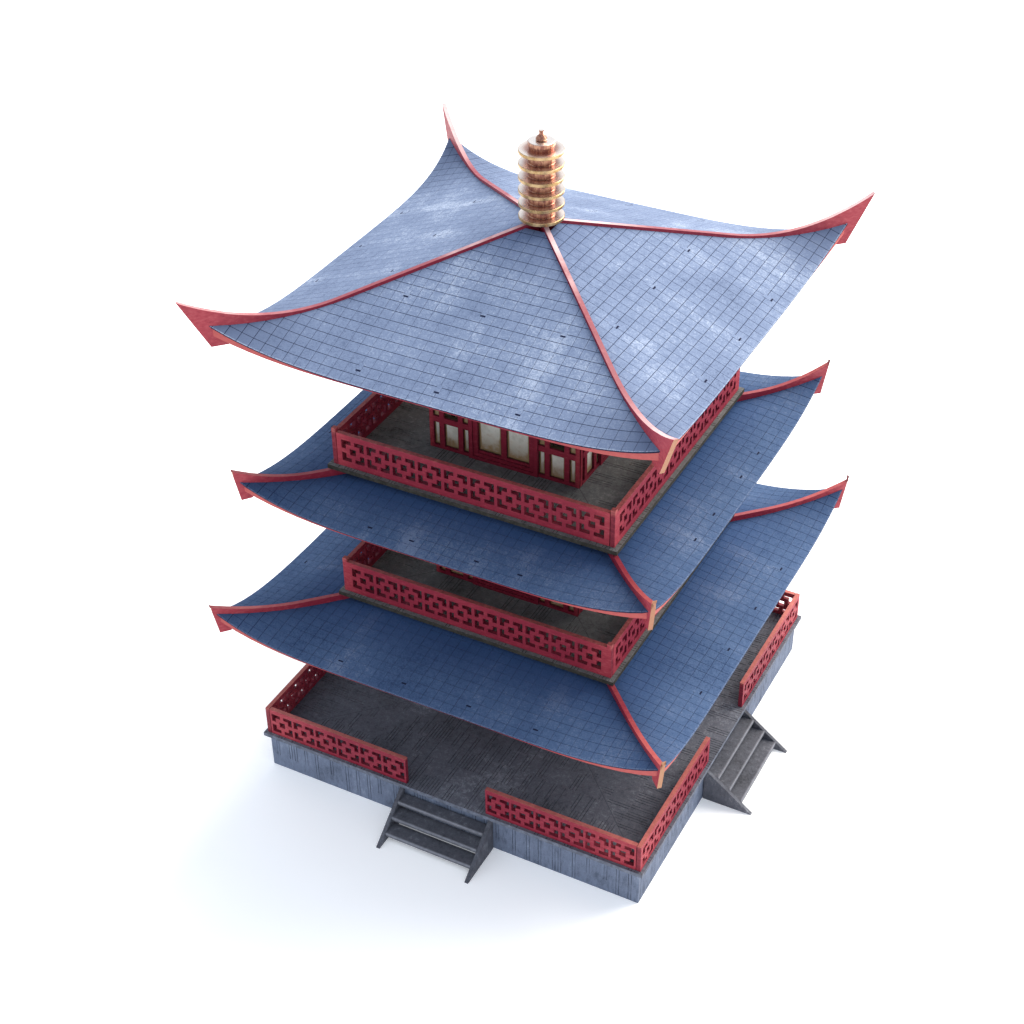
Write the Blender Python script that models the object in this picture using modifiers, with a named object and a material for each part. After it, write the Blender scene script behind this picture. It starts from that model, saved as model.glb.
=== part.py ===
"""Three-storey pagoda: a painted table model cut from thin board, with curved card roofs.

Metres, +Z up. The origin is the middle of the plinth at ground level, and the front faces -Y.
Every side is worked out as if it were the front, and then turned about the upright axis.
"""

import math

import bmesh
import bpy
from mathutils import Matrix, Vector

# Driving dimensions
BOARD = 0.002  # walls, plates, railings and ribs
CARD = 0.0007  # roof covers
CLEAR = 0.0003  # glue line between touching pieces

SIDES = ("front", "right", "back", "left")
CORNERS = ("front_right", "back_right", "back_left", "front_left")

# Plinth and stairs
PLINTH_HALF = 0.0977
DECK_HALF = 0.100
DECK_TOP = 0.0215
GROUND_RAIL_HALF = 0.0984
GROUND_RAIL_HEIGHT = 0.015
STAIR_GAP_HALF = 0.02095
STAIR_HALF = 0.0244
STAIR_RUN = 0.0250
STAIR_HEAD = 0.0190
STAIR_HEAD_DEPTH = 0.0018
STAIR_TOE_HEIGHT = 0.0008
TREAD_TOPS = (0.0146, 0.0098, 0.0050)
TREAD_NOSES = (0.0070, 0.0130, 0.0191)
TREAD_DEPTHS = (0.0064, 0.0080, 0.0080)

# Storeys and balconies
WALL_HALF = 0.0368
WALL_DEPTH = 0.003
BALCONY_HALF = 0.0699
BALCONY_TOPS = (0.0985, 0.1697)
BALCONY_RAIL_HALF = 0.0678
BALCONY_RAIL_HEIGHT = 0.0165
RAIL_TAB_WIDTH = 0.0022
RAIL_TAB_HEIGHT = 0.0017
TOP_WALL_HEAD = 0.2560
TOP_WALL_SHOULDER = 0.2500
SHOULDER_WIDTH = 0.0050

# Doors and windows, measured across from the middle of a wall and up from its floor
DOORWAY_HALF = 0.0129
DOORWAY_HEAD = 0.0440
DOOR_SILL = 0.0012  # board left under the doorways of the upper storeys
DOOR_FRAME_HALF = 0.01675
DOOR_FRAME_HEAD = 0.0478
DOOR_FRAME_PROUD = 0.0006
LEAF_RECESS = 0.0008
LEAF_DEPTH = 0.0012
WINDOW_NEAR = 0.0224
WINDOW_FAR = 0.0294
WINDOW_SILL = 0.0168
WINDOW_HEAD = 0.0410

# Fret railings: one opening stands for the open part of each unit of the fret
FRET_PITCH = 0.01248
FRET_OPEN_WIDTH = 0.0076
FRET_OPEN_HEIGHT = 0.0080

# Finial
DISC_RADIUS = 0.0097
DISC_DEPTH = 0.0016
DISC_PITCH = 0.00588
DISC_COUNT = 6
TOP_DISC = 0.3045
NECK_RADIUS = 0.0057
DRUM_RADIUS = 0.0055
DRUM_WAIST = 0.0049
DRUM_TOP = 0.3080
BUD_RADIUS = 0.0024
FINIAL_TOP = 0.3125
TURNED_STEPS = 20

# Roof frames
HEEL_SLOPE = 0.0012
FASCIA_INSET = 0.0013
CARD_SLANT = 1.2  # upright thickness of the sloping card, in card thicknesses

BRICK_RED = (0.33, 0.018, 0.025)
SLATE_BLUE = (0.10, 0.14, 0.24)
CHARCOAL = (0.055, 0.058, 0.065)
STONE_GREY = (0.16, 0.19, 0.26)
OLD_GOLD = (0.55, 0.28, 0.10)


class Roof:
    """One roof: straight rafters to a knee, then a curve that sweeps up to the corner.

    hip(d) is the card's top face along a hip, at d across and d out from the axis.
    middle(s) is the card's top face along the middle of a side, s out from the axis.
    """

    def __init__(self, name, **sizes):
        self.name = name
        self.__dict__.update(sizes)

    def hip(self, d):
        return self.hip_start - self.hip_fall * d + self.hip_lift * max(0.0, d - self.hip_knee) ** 2

    def middle(self, s):
        share = (s - self.mid_from) / (self.eave_mid - self.mid_from)
        return self.mid_start + (self.eave_mid_height - self.mid_start) * share

    def eave(self, u):
        """Distance of the eave from the axis, at u = -1 to 1 from hip to hip."""
        return self.eave_mid + (self.eave_tip - self.eave_mid) * abs(u) ** self.eave_power

    def surface(self, s, u):
        """Height of the card's top face, s out from the axis and u * s across."""
        low = self.middle(s)
        return low + (self.hip(s) - low) * abs(u) ** self.lift_power

    def rib_room(self, s):
        """Distance across from the hip line to the card's edge, clear of the rib's side."""
        steepness = self.lift_power * (self.hip(s) - self.middle(s)) / s
        lean = CARD * steepness / math.hypot(1.0, steepness)
        return (BOARD / 2 + CLEAR + lean) * math.sqrt(2)

    def rib_top(self, d):
        if d < self.rib_flat:
            return self.rib_level
        return self.rib_start - self.rib_fall * d + self.rib_lift * max(0.0, d - self.rib_knee) ** 2


TOP_ROOF = Roof(
    "roof_3",
    hip_start=0.2722, hip_fall=0.36, hip_lift=7.0, hip_knee=0.058,
    mid_from=0.0, mid_start=0.2722, eave_mid=0.0977, eave_tip=0.1018, eave_mid_height=0.2361,
    eave_power=5.2, lift_power=4.3, inner=0.0045, rows=8, columns=12,
    rib_flat=0.0014, rib_level=0.2732, rib_start=0.2733, rib_fall=0.36, rib_lift=12.0, rib_knee=0.062,
    tip=(0.1091, 0.2607), toe_front=(0.1007, 0.2380), toe_rear=(0.0955, 0.2381),
    rib_inner=0.0, rib_depth=0.0098, fascia_depth=0.0013, fascia_corner_depth=0.0042,
)
MIDDLE_ROOF = Roof(
    "roof_2",
    hip_start=0.1635, hip_fall=0.0, hip_lift=5.4, hip_knee=0.064,
    mid_from=0.070, mid_start=0.1637, eave_mid=0.0978, eave_tip=0.0983, eave_mid_height=0.1588,
    eave_power=2.5, lift_power=4.2, inner=0.0590, rows=4, columns=12,
    rib_flat=0.072, rib_level=0.1674, rib_start=0.1668, rib_fall=0.0, rib_lift=13.5, rib_knee=0.0745,
    tip=(0.0999, 0.1771), toe_front=(0.0976, 0.1596), toe_rear=(0.0940, 0.1600),
    rib_inner=0.03695, rib_depth=0.0090, fascia_depth=0.0012, fascia_corner_depth=0.0036,
)
LOW_ROOF = Roof(
    "roof_1",
    hip_start=0.0937, hip_fall=0.0, hip_lift=5.5, hip_knee=0.075,
    mid_from=0.070, mid_start=0.0937, eave_mid=0.1096, eave_tip=0.1110, eave_mid_height=0.0879,
    eave_power=2.4, lift_power=4.8, inner=0.0590, rows=5, columns=12,
    rib_flat=0.072, rib_level=0.0962, rib_start=0.0965, rib_fall=0.0, rib_lift=8.5, rib_knee=0.082,
    tip=(0.1122, 0.1070), toe_front=(0.1098, 0.0887), toe_rear=(0.1060, 0.0890),
    rib_inner=0.03695, rib_depth=0.0090, fascia_depth=0.0012, fascia_corner_depth=0.0038,
)


def clear_scene():
    for obj in list(bpy.data.objects):
        bpy.data.objects.remove(obj, do_unlink=True)


def make_collection(name):
    collection = bpy.data.collections.new(name)
    bpy.context.scene.collection.children.link(collection)
    return collection


def make_material(name, colour, roughness, metallic=0.0):
    material = bpy.data.materials.new(name)
    material.use_nodes = True
    shader = material.node_tree.nodes["Principled BSDF"]
    shader.inputs["Base Color"].default_value = (*colour, 1.0)
    shader.inputs["Roughness"].default_value = roughness
    shader.inputs["Metallic"].default_value = metallic
    return material


def add_object(name, mesh, material, turn=0.0):
    """A node in the pagoda's collection, turned about the upright axis."""
    obj = bpy.data.objects.new(name, mesh)
    mesh.materials.clear()
    mesh.materials.append(material)
    obj.rotation_euler.z = turn
    PARTS.objects.link(obj)
    return obj


def side_turn(side):
    """The turn that brings the front to this side."""
    return SIDES.index(side) * math.pi / 2


def finish_mesh(work, name):
    bmesh.ops.remove_doubles(work, verts=work.verts, dist=1e-6)
    bmesh.ops.recalc_face_normals(work, faces=work.faces)
    mesh = bpy.data.meshes.new(name)
    work.to_mesh(mesh)
    work.free()
    return mesh


def rectangle(left, right, bottom, top):
    return [(left, bottom), (right, bottom), (right, top), (left, top)]


def cut_sheet(name, outline, holes, depth, face_y):
    """A flat sheet upright in the XZ plane, its outer face at face_y, cut from a filled curve."""
    curve = bpy.data.curves.new(name, "CURVE")
    curve.dimensions = "2D"
    curve.fill_mode = "BOTH"
    curve.extrude = depth / 2
    for loop in [outline, *holes]:
        spline = curve.splines.new("POLY")
        spline.points.add(len(loop) - 1)
        for point, (x, y) in zip(spline.points, loop):
            point.co = (x, y, 0.0, 1.0)
        spline.use_cyclic_u = True
    source = bpy.data.objects.new(name, curve)
    bpy.context.scene.collection.objects.link(source)
    bpy.context.view_layer.update()
    filled = bpy.data.meshes.new_from_object(source.evaluated_get(bpy.context.evaluated_depsgraph_get()))
    bpy.data.objects.remove(source, do_unlink=True)
    work = bmesh.new()
    work.from_mesh(filled)
    upright = Matrix.Rotation(math.pi / 2, 4, "X")
    work.transform(Matrix.Translation((0.0, face_y + depth / 2, 0.0)) @ upright)
    return finish_mesh(work, name)


def box_mesh(name, low, high):
    work = bmesh.new()
    size = [b - a for a, b in zip(low, high)]
    middle = [(a + b) / 2 for a, b in zip(low, high)]
    bmesh.ops.create_cube(work, size=1.0, matrix=Matrix.Translation(middle) @ Matrix.Diagonal((*size, 1.0)))
    return finish_mesh(work, name)


def add_union(obj, mesh, name):
    """Fuses another mesh into the object with a Boolean union."""
    other = bpy.data.objects.new(name, mesh)
    other.rotation_euler = obj.rotation_euler
    other.hide_render = True
    other.display_type = "WIRE"
    CUTTERS.objects.link(other)
    union = obj.modifiers.new(name, "BOOLEAN")
    union.operation = "UNION"
    union.object = other
    return other


# Plinth, deck and ground railings


def build_plinth(material):
    for side in SIDES:
        runs_through = side in ("front", "back")
        half = PLINTH_HALF if runs_through else PLINTH_HALF - BOARD - CLEAR
        low = (-half, -PLINTH_HALF, 0.0)
        high = (half, -PLINTH_HALF + BOARD, DECK_TOP - BOARD - CLEAR)
        name = f"plinth_{side}_wall"
        add_object(name, box_mesh(name, low, high), material, side_turn(side))


def build_deck(material):
    low = (-DECK_HALF, -DECK_HALF, DECK_TOP - BOARD)
    high = (DECK_HALF, DECK_HALF, DECK_TOP)
    add_object("plinth_deck", box_mesh("plinth_deck", low, high), material)


def fret_openings(left, right, bottom, top):
    """One opening for each whole unit of the fret that fits between two ends."""
    count = int((right - left) // FRET_PITCH)
    middle_x = (left + right) / 2
    middle_z = (bottom + top) / 2
    holes = []
    for index in range(count):
        x = middle_x + (index - (count - 1) / 2) * FRET_PITCH
        holes.append(
            rectangle(
                x - FRET_OPEN_WIDTH / 2, x + FRET_OPEN_WIDTH / 2,
                middle_z - FRET_OPEN_HEIGHT / 2, middle_z + FRET_OPEN_HEIGHT / 2,
            )
        )
    return holes


def railing_outline(left, right, bottom, top, tabs):
    if not tabs:
        return rectangle(left, right, bottom, top)
    raised = top + RAIL_TAB_HEIGHT
    return [
        (left, bottom), (right, bottom), (right, raised), (right - RAIL_TAB_WIDTH, raised),
        (right - RAIL_TAB_WIDTH, top), (left + RAIL_TAB_WIDTH, top), (left + RAIL_TAB_WIDTH, raised),
        (left, raised),
    ]


def build_ground_railings(material):
    bottom = DECK_TOP + CLEAR
    top = bottom + GROUND_RAIL_HEIGHT
    for side in SIDES:
        runs_through = side in ("right", "left")
        end = GROUND_RAIL_HALF if runs_through else GROUND_RAIL_HALF - BOARD - CLEAR
        for hand, left, right in (("left", -end, -STAIR_GAP_HALF), ("right", STAIR_GAP_HALF, end)):
            name = f"ground_{side}_railing_{hand}"
            outline = railing_outline(left, right, bottom, top, tabs=False)
            holes = fret_openings(left, right, bottom, top)
            mesh = cut_sheet(name, outline, holes, BOARD, -GROUND_RAIL_HALF)
            add_object(name, mesh, material, side_turn(side))


def stringer_outline():
    """A stair cheek in side view: distance out from the plinth wall, and height."""
    return [
        (CLEAR, 0.0), (STAIR_RUN, 0.0), (STAIR_RUN, STAIR_TOE_HEIGHT),
        (STAIR_HEAD_DEPTH, STAIR_HEAD), (CLEAR, STAIR_HEAD),
    ]


def stringer_mesh(name, left):
    """The cheek is drawn in the XZ plane and then turned to run out from the wall."""
    mesh = cut_sheet(name, stringer_outline(), [], BOARD, 0.0)
    turned = Matrix.Rotation(-math.pi / 2, 4, "Z")
    mesh.transform(Matrix.Translation((left, -PLINTH_HALF, 0.0)) @ turned)
    return mesh


def build_stairs(material):
    for side in SIDES:
        name = f"{side}_stairs"
        stairs = add_object(name, stringer_mesh(name, -STAIR_HALF), material, side_turn(side))
        for index, (top, nose, depth) in enumerate(zip(TREAD_TOPS, TREAD_NOSES, TREAD_DEPTHS), start=1):
            low = (-STAIR_HALF + BOARD / 2, -PLINTH_HALF - nose, top - BOARD)
            high = (STAIR_HALF - BOARD / 2, -PLINTH_HALF - nose + depth, top)
            add_union(stairs, box_mesh(f"{name}_tread_{index}", low, high), f"{name}_tread_{index}")
        other_cheek = stringer_mesh(f"{name}_cheek", STAIR_HALF - BOARD)
        add_union(stairs, other_cheek, f"{name}_cheek")


# Storeys


def wall_outline(half, floor, head):
    if head is not None:
        return rectangle(-half, half, floor, head)
    shoulder = WALL_HALF - SHOULDER_WIDTH
    return [
        (-half, floor), (half, floor), (half, TOP_WALL_SHOULDER), (shoulder, TOP_WALL_SHOULDER),
        (shoulder, TOP_WALL_HEAD), (-shoulder, TOP_WALL_HEAD), (-shoulder, TOP_WALL_SHOULDER),
        (-half, TOP_WALL_SHOULDER),
    ]


def window_holes(floor):
    bottom, top = floor + WINDOW_SILL, floor + WINDOW_HEAD
    return [
        rectangle(-WINDOW_FAR, -WINDOW_NEAR, bottom, top),
        rectangle(WINDOW_NEAR, WINDOW_FAR, bottom, top),
    ]


def door_leaf_mesh(name, floor, half, head):
    """Both closed leaves, as one panel set back in the doorway."""
    outer = -WALL_HALF + LEAF_RECESS
    return box_mesh(name, (-half, outer, floor), (half, outer + LEAF_DEPTH, head))


def door_frame_mesh(name, floor, face_y, depth):
    """The raised frame round the doorway, with its threshold."""
    outline = rectangle(-DOOR_FRAME_HALF, DOOR_FRAME_HALF, floor, floor + DOOR_FRAME_HEAD)
    inside = rectangle(-DOORWAY_HALF + BOARD / 2, DOORWAY_HALF - BOARD / 2, floor + BOARD,
                       floor + DOORWAY_HEAD - BOARD / 2)
    return cut_sheet(name, outline, [inside], depth, face_y)


def build_ground_door(side, floor, material):
    """The leaves and their frame as one piece: a body in the doorway behind a wider frame."""
    name = f"storey_1_{side}_door"
    head = floor + DOORWAY_HEAD - CLEAR
    door = add_object(
        name, door_leaf_mesh(name, floor, DOORWAY_HALF - CLEAR, head), material, side_turn(side)
    )
    face = -WALL_HALF - CLEAR - DOOR_FRAME_PROUD
    add_union(door, door_frame_mesh(f"{name}_frame", floor, face, DOOR_FRAME_PROUD), f"{name}_frame")
    inner = door_ring_mesh(f"{name}_lining", floor, head, face + DOOR_FRAME_PROUD / 2)
    add_union(door, inner, f"{name}_lining")


def door_ring_mesh(name, floor, head, face_y):
    """The lining that ties the raised frame to the leaves, inside the doorway."""
    half = DOORWAY_HALF - CLEAR
    outline = rectangle(-half, half, floor, head)
    inside = rectangle(-half + BOARD / 2, half - BOARD / 2, floor + BOARD, head - BOARD / 2)
    back = -WALL_HALF + LEAF_RECESS + LEAF_DEPTH / 2
    return cut_sheet(name, outline, [inside], back - face_y, face_y)


def build_storey(number, floor, head, wall_material, door_material):
    for side in SIDES:
        runs_through = side in ("front", "back")
        half = WALL_HALF if runs_through else WALL_HALF - WALL_DEPTH - CLEAR
        name = f"storey_{number}_{side}_wall"
        outline, holes = wall_outline(half, floor, head), window_holes(floor)
        if number == 1:
            outline = doorway_outline(half, floor, head)
        else:
            holes.append(
                rectangle(-DOORWAY_HALF, DOORWAY_HALF, floor + DOOR_SILL, floor + DOORWAY_HEAD)
            )
        wall = add_object(name, cut_sheet(name, outline, holes, WALL_DEPTH, -WALL_HALF),
                          wall_material, side_turn(side))
        if number == 1:
            build_ground_door(side, floor + CLEAR, door_material)
            continue
        leaf = door_leaf_mesh(f"{name}_leaves", floor + CLEAR, DOORWAY_HALF + BOARD / 2,
                              floor + DOORWAY_HEAD + BOARD / 2)
        add_union(wall, leaf, f"{name}_leaves")
        face = -WALL_HALF - DOOR_FRAME_PROUD
        frame = door_frame_mesh(f"{name}_door_frame", floor, face, DOOR_FRAME_PROUD + BOARD / 4)
        add_union(wall, frame, f"{name}_door_frame")


def doorway_outline(half, floor, head):
    """A wall whose doorway reaches down to the floor."""
    door_head = floor + DOORWAY_HEAD
    return [
        (-half, floor), (-DOORWAY_HALF, floor), (-DOORWAY_HALF, door_head), (DOORWAY_HALF, door_head),
        (DOORWAY_HALF, floor), (half, floor), (half, head), (-half, head),
    ]


# Balconies


def build_balcony(number, material, rail_material):
    top = BALCONY_TOPS[number - 1]
    low = (-BALCONY_HALF, -BALCONY_HALF, top - BOARD)
    high = (BALCONY_HALF, BALCONY_HALF, top)
    name = f"balcony_{number}_plate"
    add_object(name, box_mesh(name, low, high), material)
    bottom = top + CLEAR
    for side in SIDES:
        runs_through = (side in ("front", "back")) == (number == 1)
        half = BALCONY_RAIL_HALF if runs_through else BALCONY_RAIL_HALF - BOARD - CLEAR
        rail_name = f"balcony_{number}_{side}_railing"
        rail_top = bottom + BALCONY_RAIL_HEIGHT
        outline = railing_outline(-half, half, bottom, rail_top, tabs=runs_through)
        holes = fret_openings(-half, half, bottom, rail_top)
        mesh = cut_sheet(rail_name, outline, holes, BOARD, -BALCONY_RAIL_HALF)
        add_object(rail_name, mesh, rail_material, side_turn(side))


# Roofs


def cover_mesh(roof, name):
    """The card between two hips, shaped from a flat grid: u runs across and the rows run outward."""
    work = bmesh.new()
    bmesh.ops.create_grid(work, x_segments=roof.columns, y_segments=roof.rows, size=1.0)
    for vert in work.verts:
        u, outward = vert.co.x, (vert.co.y + 1) / 2
        s = roof.inner + (roof.eave(u) - roof.inner) * outward
        across = u * (s - roof.rib_room(s))
        vert.co = Vector((across, -s, roof.surface(s, across / s)))
    bmesh.ops.recalc_face_normals(work, faces=work.faces)
    if sum(face.normal.z for face in work.faces) < 0:
        bmesh.ops.reverse_faces(work, faces=work.faces)
    mesh = bpy.data.meshes.new(name)
    work.to_mesh(mesh)
    work.free()
    mesh.shade_smooth()
    return mesh


def build_covers(roof, material):
    for side in SIDES:
        name = f"{roof.name}_{side}_cover"
        cover = add_object(name, cover_mesh(roof, name), material, side_turn(side))
        thickness = cover.modifiers.new("card", "SOLIDIFY")
        thickness.thickness = CARD
        thickness.offset = -1.0
        thickness.use_even_offset = True


def bend_distances(roof):
    """Where a rib's edge needs points: its ends, the start of its slope, and along its upward sweep."""
    steps = 9
    knee, tip = roof.rib_knee, roof.tip[0]
    sweep = [knee + (tip - knee) * i / steps for i in range(steps)]
    return [roof.rib_inner, roof.rib_flat, *sweep]


def rib_outline(roof):
    """A hip rib in side view, as (distance per axis, height), from the inner end round to the toe."""
    distances = bend_distances(roof)
    heel = roof.toe_rear[0] - HEEL_SLOPE
    points = [(d, roof.rib_top(d)) for d in distances]
    points += [roof.tip, roof.toe_front, roof.toe_rear]
    points.append((heel, roof.hip(heel) - CARD - roof.fascia_corner_depth))
    inside = [d for d in distances if d < heel - HEEL_SLOPE]
    points += [(d, roof.rib_top(d) - roof.rib_depth) for d in reversed(inside)]
    return points


def rib_mesh(roof, name, corner):
    """A rib is cut flat, with lengths along the diagonal, and turned to its corner."""
    diagonal = math.sqrt(2)
    outline = [(d * diagonal, z) for d, z in rib_outline(roof)]
    if roof.rib_inner == 0.0:
        mirrored = [(-x, z) for x, z in reversed(outline[1:-1])]
        outline = outline[1:-1] + mirrored
    mesh = cut_sheet(name, outline, [], BOARD, -BOARD / 2)
    turn = -math.pi / 4 + corner * math.pi / 2
    mesh.transform(Matrix.Rotation(turn, 4, "Z"))
    return mesh


def fascia_mesh(roof, name, side):
    """The board under an eave, bent along the card's edge and reaching into both ribs."""
    work = bmesh.new()
    bmesh.ops.create_grid(work, x_segments=roof.columns, y_segments=1, size=1.0)
    for vert in work.verts:
        u, upper = vert.co.x, vert.co.y > 0
        s = roof.eave(u) - FASCIA_INSET
        across = u * (s - BOARD / 2)
        lowest = min(roof.surface(s, u), roof.surface(s - BOARD, u))
        top = lowest - CARD * CARD_SLANT - CLEAR
        depth = roof.fascia_depth + (roof.fascia_corner_depth - roof.fascia_depth) * abs(u) ** 3
        vert.co = Vector((across, -s, top if upper else top - depth))
    bmesh.ops.recalc_face_normals(work, faces=work.faces)
    if sum(face.normal.y for face in work.faces) > 0:
        bmesh.ops.reverse_faces(work, faces=work.faces)
    bmesh.ops.solidify(work, geom=list(work.faces), thickness=BOARD)
    work.transform(Matrix.Rotation(side_turn(side), 4, "Z"))
    return finish_mesh(work, name)


def build_frame(roof, material):
    """The four hip ribs and four fascias of one roof, glued into one frame."""
    name = f"{roof.name}_frame"
    frame = add_object(name, rib_mesh(roof, name, 0), material)
    crosses_over = roof.rib_inner == 0.0
    for corner in range(1, 2 if crosses_over else 4):
        part = f"{name}_{CORNERS[corner]}_rib"
        add_union(frame, rib_mesh(roof, part, corner), part)
    for side in SIDES:
        part = f"{name}_{side}_fascia"
        add_union(frame, fascia_mesh(roof, part, side), part)


# Finial


def finial_profile():
    """Half section of the finial from the tip of its bud down to its seat, as (radius, height)."""
    points = [
        (0.0, FINIAL_TOP), (0.0011, FINIAL_TOP), (0.0008, FINIAL_TOP - 0.0019),
        (BUD_RADIUS, DRUM_TOP + 0.0012), (0.0011, DRUM_TOP),
        (DRUM_RADIUS, DRUM_TOP), (DRUM_RADIUS, TOP_DISC + 0.0011), (DRUM_WAIST, TOP_DISC + 0.0009),
        (DRUM_WAIST, TOP_DISC),
    ]
    for index in range(DISC_COUNT):
        top = TOP_DISC - index * DISC_PITCH
        points += [(DISC_RADIUS, top), (DISC_RADIUS, top - DISC_DEPTH)]
        if index < DISC_COUNT - 1:
            points += [(NECK_RADIUS, top - DISC_DEPTH), (NECK_RADIUS, top - DISC_PITCH)]
    points.append((0.0, TOP_DISC - (DISC_COUNT - 1) * DISC_PITCH - DISC_DEPTH))
    return points


def build_finial(material):
    work = bmesh.new()
    verts = [work.verts.new((radius, 0.0, height)) for radius, height in finial_profile()]
    for first, second in zip(verts, verts[1:]):
        work.edges.new((first, second))
    mesh = bpy.data.meshes.new("finial")
    work.to_mesh(mesh)
    work.free()
    finial = add_object("finial", mesh, material)
    turned = finial.modifiers.new("turned", "SCREW")
    turned.axis = "Z"
    turned.steps = TURNED_STEPS
    turned.render_steps = TURNED_STEPS
    turned.use_merge_vertices = True
    turned.merge_threshold = 1e-5
    turned.use_smooth_shade = True


def build_pagoda():
    red = make_material("railing_red", BRICK_RED, 0.6)
    blue = make_material("roof_blue", SLATE_BLUE, 0.75)
    dark = make_material("deck_charcoal", CHARCOAL, 0.8)
    stone = make_material("plinth_grey", STONE_GREY, 0.8)
    gold = make_material("finial_gold", OLD_GOLD, 0.4, 0.8)
    build_plinth(stone)
    build_deck(dark)
    build_ground_railings(red)
    build_stairs(stone)
    first_ceiling, second_ceiling = (top - BOARD - CLEAR for top in BALCONY_TOPS)
    build_storey(1, DECK_TOP + CLEAR, first_ceiling, red, red)
    build_storey(2, BALCONY_TOPS[0] + CLEAR, second_ceiling, red, red)
    build_storey(3, BALCONY_TOPS[1] + CLEAR, None, red, red)
    for number in (1, 2):
        build_balcony(number, dark, red)
    for roof in (LOW_ROOF, MIDDLE_ROOF, TOP_ROOF):
        build_covers(roof, blue)
        build_frame(roof, red)
    build_finial(gold)


clear_scene()
PARTS = make_collection("pagoda")
CUTTERS = make_collection("joined_shapes")
CUTTERS.hide_render = True
build_pagoda()
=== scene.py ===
# %% [markdown]
# # A three-storey pagoda, modelled and painted
# The object is a table model: thin board cut to shape, slotted together, roofed with thin card and painted by
# hand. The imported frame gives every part's place and size. This lesson builds the detailed parts round that frame.
# They could be sculpted, but a kit of cut sheets is best made as it really is: flat sheets, cut, thickened and set up.

# %% Load the frame
import math
import random
from contextlib import contextmanager

import bmesh
import bpy
from mathutils import Matrix, Vector


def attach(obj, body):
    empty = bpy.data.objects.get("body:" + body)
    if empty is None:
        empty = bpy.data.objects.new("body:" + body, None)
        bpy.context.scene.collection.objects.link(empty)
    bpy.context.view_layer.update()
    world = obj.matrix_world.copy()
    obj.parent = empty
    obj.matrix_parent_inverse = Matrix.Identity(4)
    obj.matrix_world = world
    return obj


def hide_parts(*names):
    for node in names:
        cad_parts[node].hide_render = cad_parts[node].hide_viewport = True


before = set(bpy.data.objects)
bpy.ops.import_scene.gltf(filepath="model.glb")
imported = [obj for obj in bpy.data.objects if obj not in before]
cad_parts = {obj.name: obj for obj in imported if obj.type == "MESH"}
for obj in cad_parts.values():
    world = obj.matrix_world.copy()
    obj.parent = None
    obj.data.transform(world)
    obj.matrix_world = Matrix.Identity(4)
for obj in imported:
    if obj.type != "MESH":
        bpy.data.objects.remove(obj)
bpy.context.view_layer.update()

MM = 0.001
SIDES = ("front", "right", "back", "left")
BOARD = 2.0 * MM
CARD = 0.7 * MM

# %% [markdown]
# ## Working as by hand
# Every step below is one that a modeller does with the mouse: open a piece, pick faces by their place, cut, extrude,
# close it. A few helpers keep those steps short. An operator acts on all that is selected, so each helper starts with
# nothing selected and then picks what it needs.


# %% Open a piece and pick parts of it
def clear_selection():
    if bpy.context.object and bpy.context.object.mode != "OBJECT":
        bpy.ops.object.mode_set(mode="OBJECT")
    bpy.ops.object.select_all(action="DESELECT")


@contextmanager
def editing(piece, parts="FACE"):
    """Edit mode on one piece, with nothing selected."""
    clear_selection()
    piece.select_set(True)
    bpy.context.view_layer.objects.active = piece
    bpy.ops.object.mode_set(mode="EDIT")
    bpy.ops.mesh.select_mode(type=parts)
    bpy.ops.mesh.select_all(action="DESELECT")
    yield
    bpy.ops.object.mode_set(mode="OBJECT")


def middle_of(part):
    if isinstance(part, bmesh.types.BMVert):
        return part.co
    return sum((vert.co for vert in part.verts), Vector()) / len(part.verts)


def pick(piece, where, parts="faces"):
    """Selects the faces, edges or verts whose middle passes the test, and no others."""
    work = bmesh.from_edit_mesh(piece.data)
    bpy.ops.mesh.select_all(action="DESELECT")
    found = [part for part in getattr(work, parts) if where(middle_of(part))]
    for part in found:
        part.select_set(True)
    work.select_flush_mode()
    bmesh.update_edit_mesh(piece.data, loop_triangles=False, destructive=False)
    return len(found)


# %% [markdown]
# ## Sheets
# Walls, railings, plates and ribs are all sheets. Each one starts as a plane lying flat, where x runs across and y
# runs up the finished part. It is cut with straight lines, the openings are deleted, and only then is it stood up
# and given its thickness. Working flat keeps every cut a plain number.


# %% Start, cut and stand up a sheet
def add_sheet(name, left, right, bottom, top):
    clear_selection()
    centre = ((left + right) / 2, (bottom + top) / 2, 0.0)
    bpy.ops.mesh.primitive_plane_add(size=1.0, location=centre)
    sheet = bpy.context.object
    sheet.name = sheet.data.name = name
    sheet.scale = (right - left, top - bottom, 1.0)
    bpy.ops.object.transform_apply(location=True, rotation=True, scale=True)
    return sheet


def cut_lines(sheet, across=(), up=()):
    """Straight cuts through the whole sheet, at places across it and up it."""
    with editing(sheet):
        for axis, places in ((0, across), (1, up)):
            for place in places:
                point, normal = [0.0, 0.0, 0.0], [0.0, 0.0, 0.0]
                point[axis], normal[axis] = place, 1.0
                bpy.ops.mesh.select_all(action="SELECT")
                bpy.ops.mesh.bisect(plane_co=point, plane_no=normal)


def cut_away(piece, point, normal, near=0.1 * MM):
    """Cuts along a plane and throws away the side that its normal points to. Points as near as this count as on it."""
    with editing(piece):
        bpy.ops.mesh.select_all(action="SELECT")
        bpy.ops.mesh.bisect(plane_co=point, plane_no=normal, clear_outer=True, threshold=near)


def cut_out(sheet, where):
    """Deletes the faces that lie in an opening."""
    with editing(sheet):
        if pick(sheet, where):
            bpy.ops.mesh.delete(type="FACE")


def stand_up(sheet, face_y):
    """Turns a flat sheet upright, its face towards -Y at face_y."""
    sheet.matrix_world = Matrix.Translation((0.0, face_y, 0.0)) @ Matrix.Rotation(math.pi / 2, 4, "X")
    apply_place(sheet)


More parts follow.
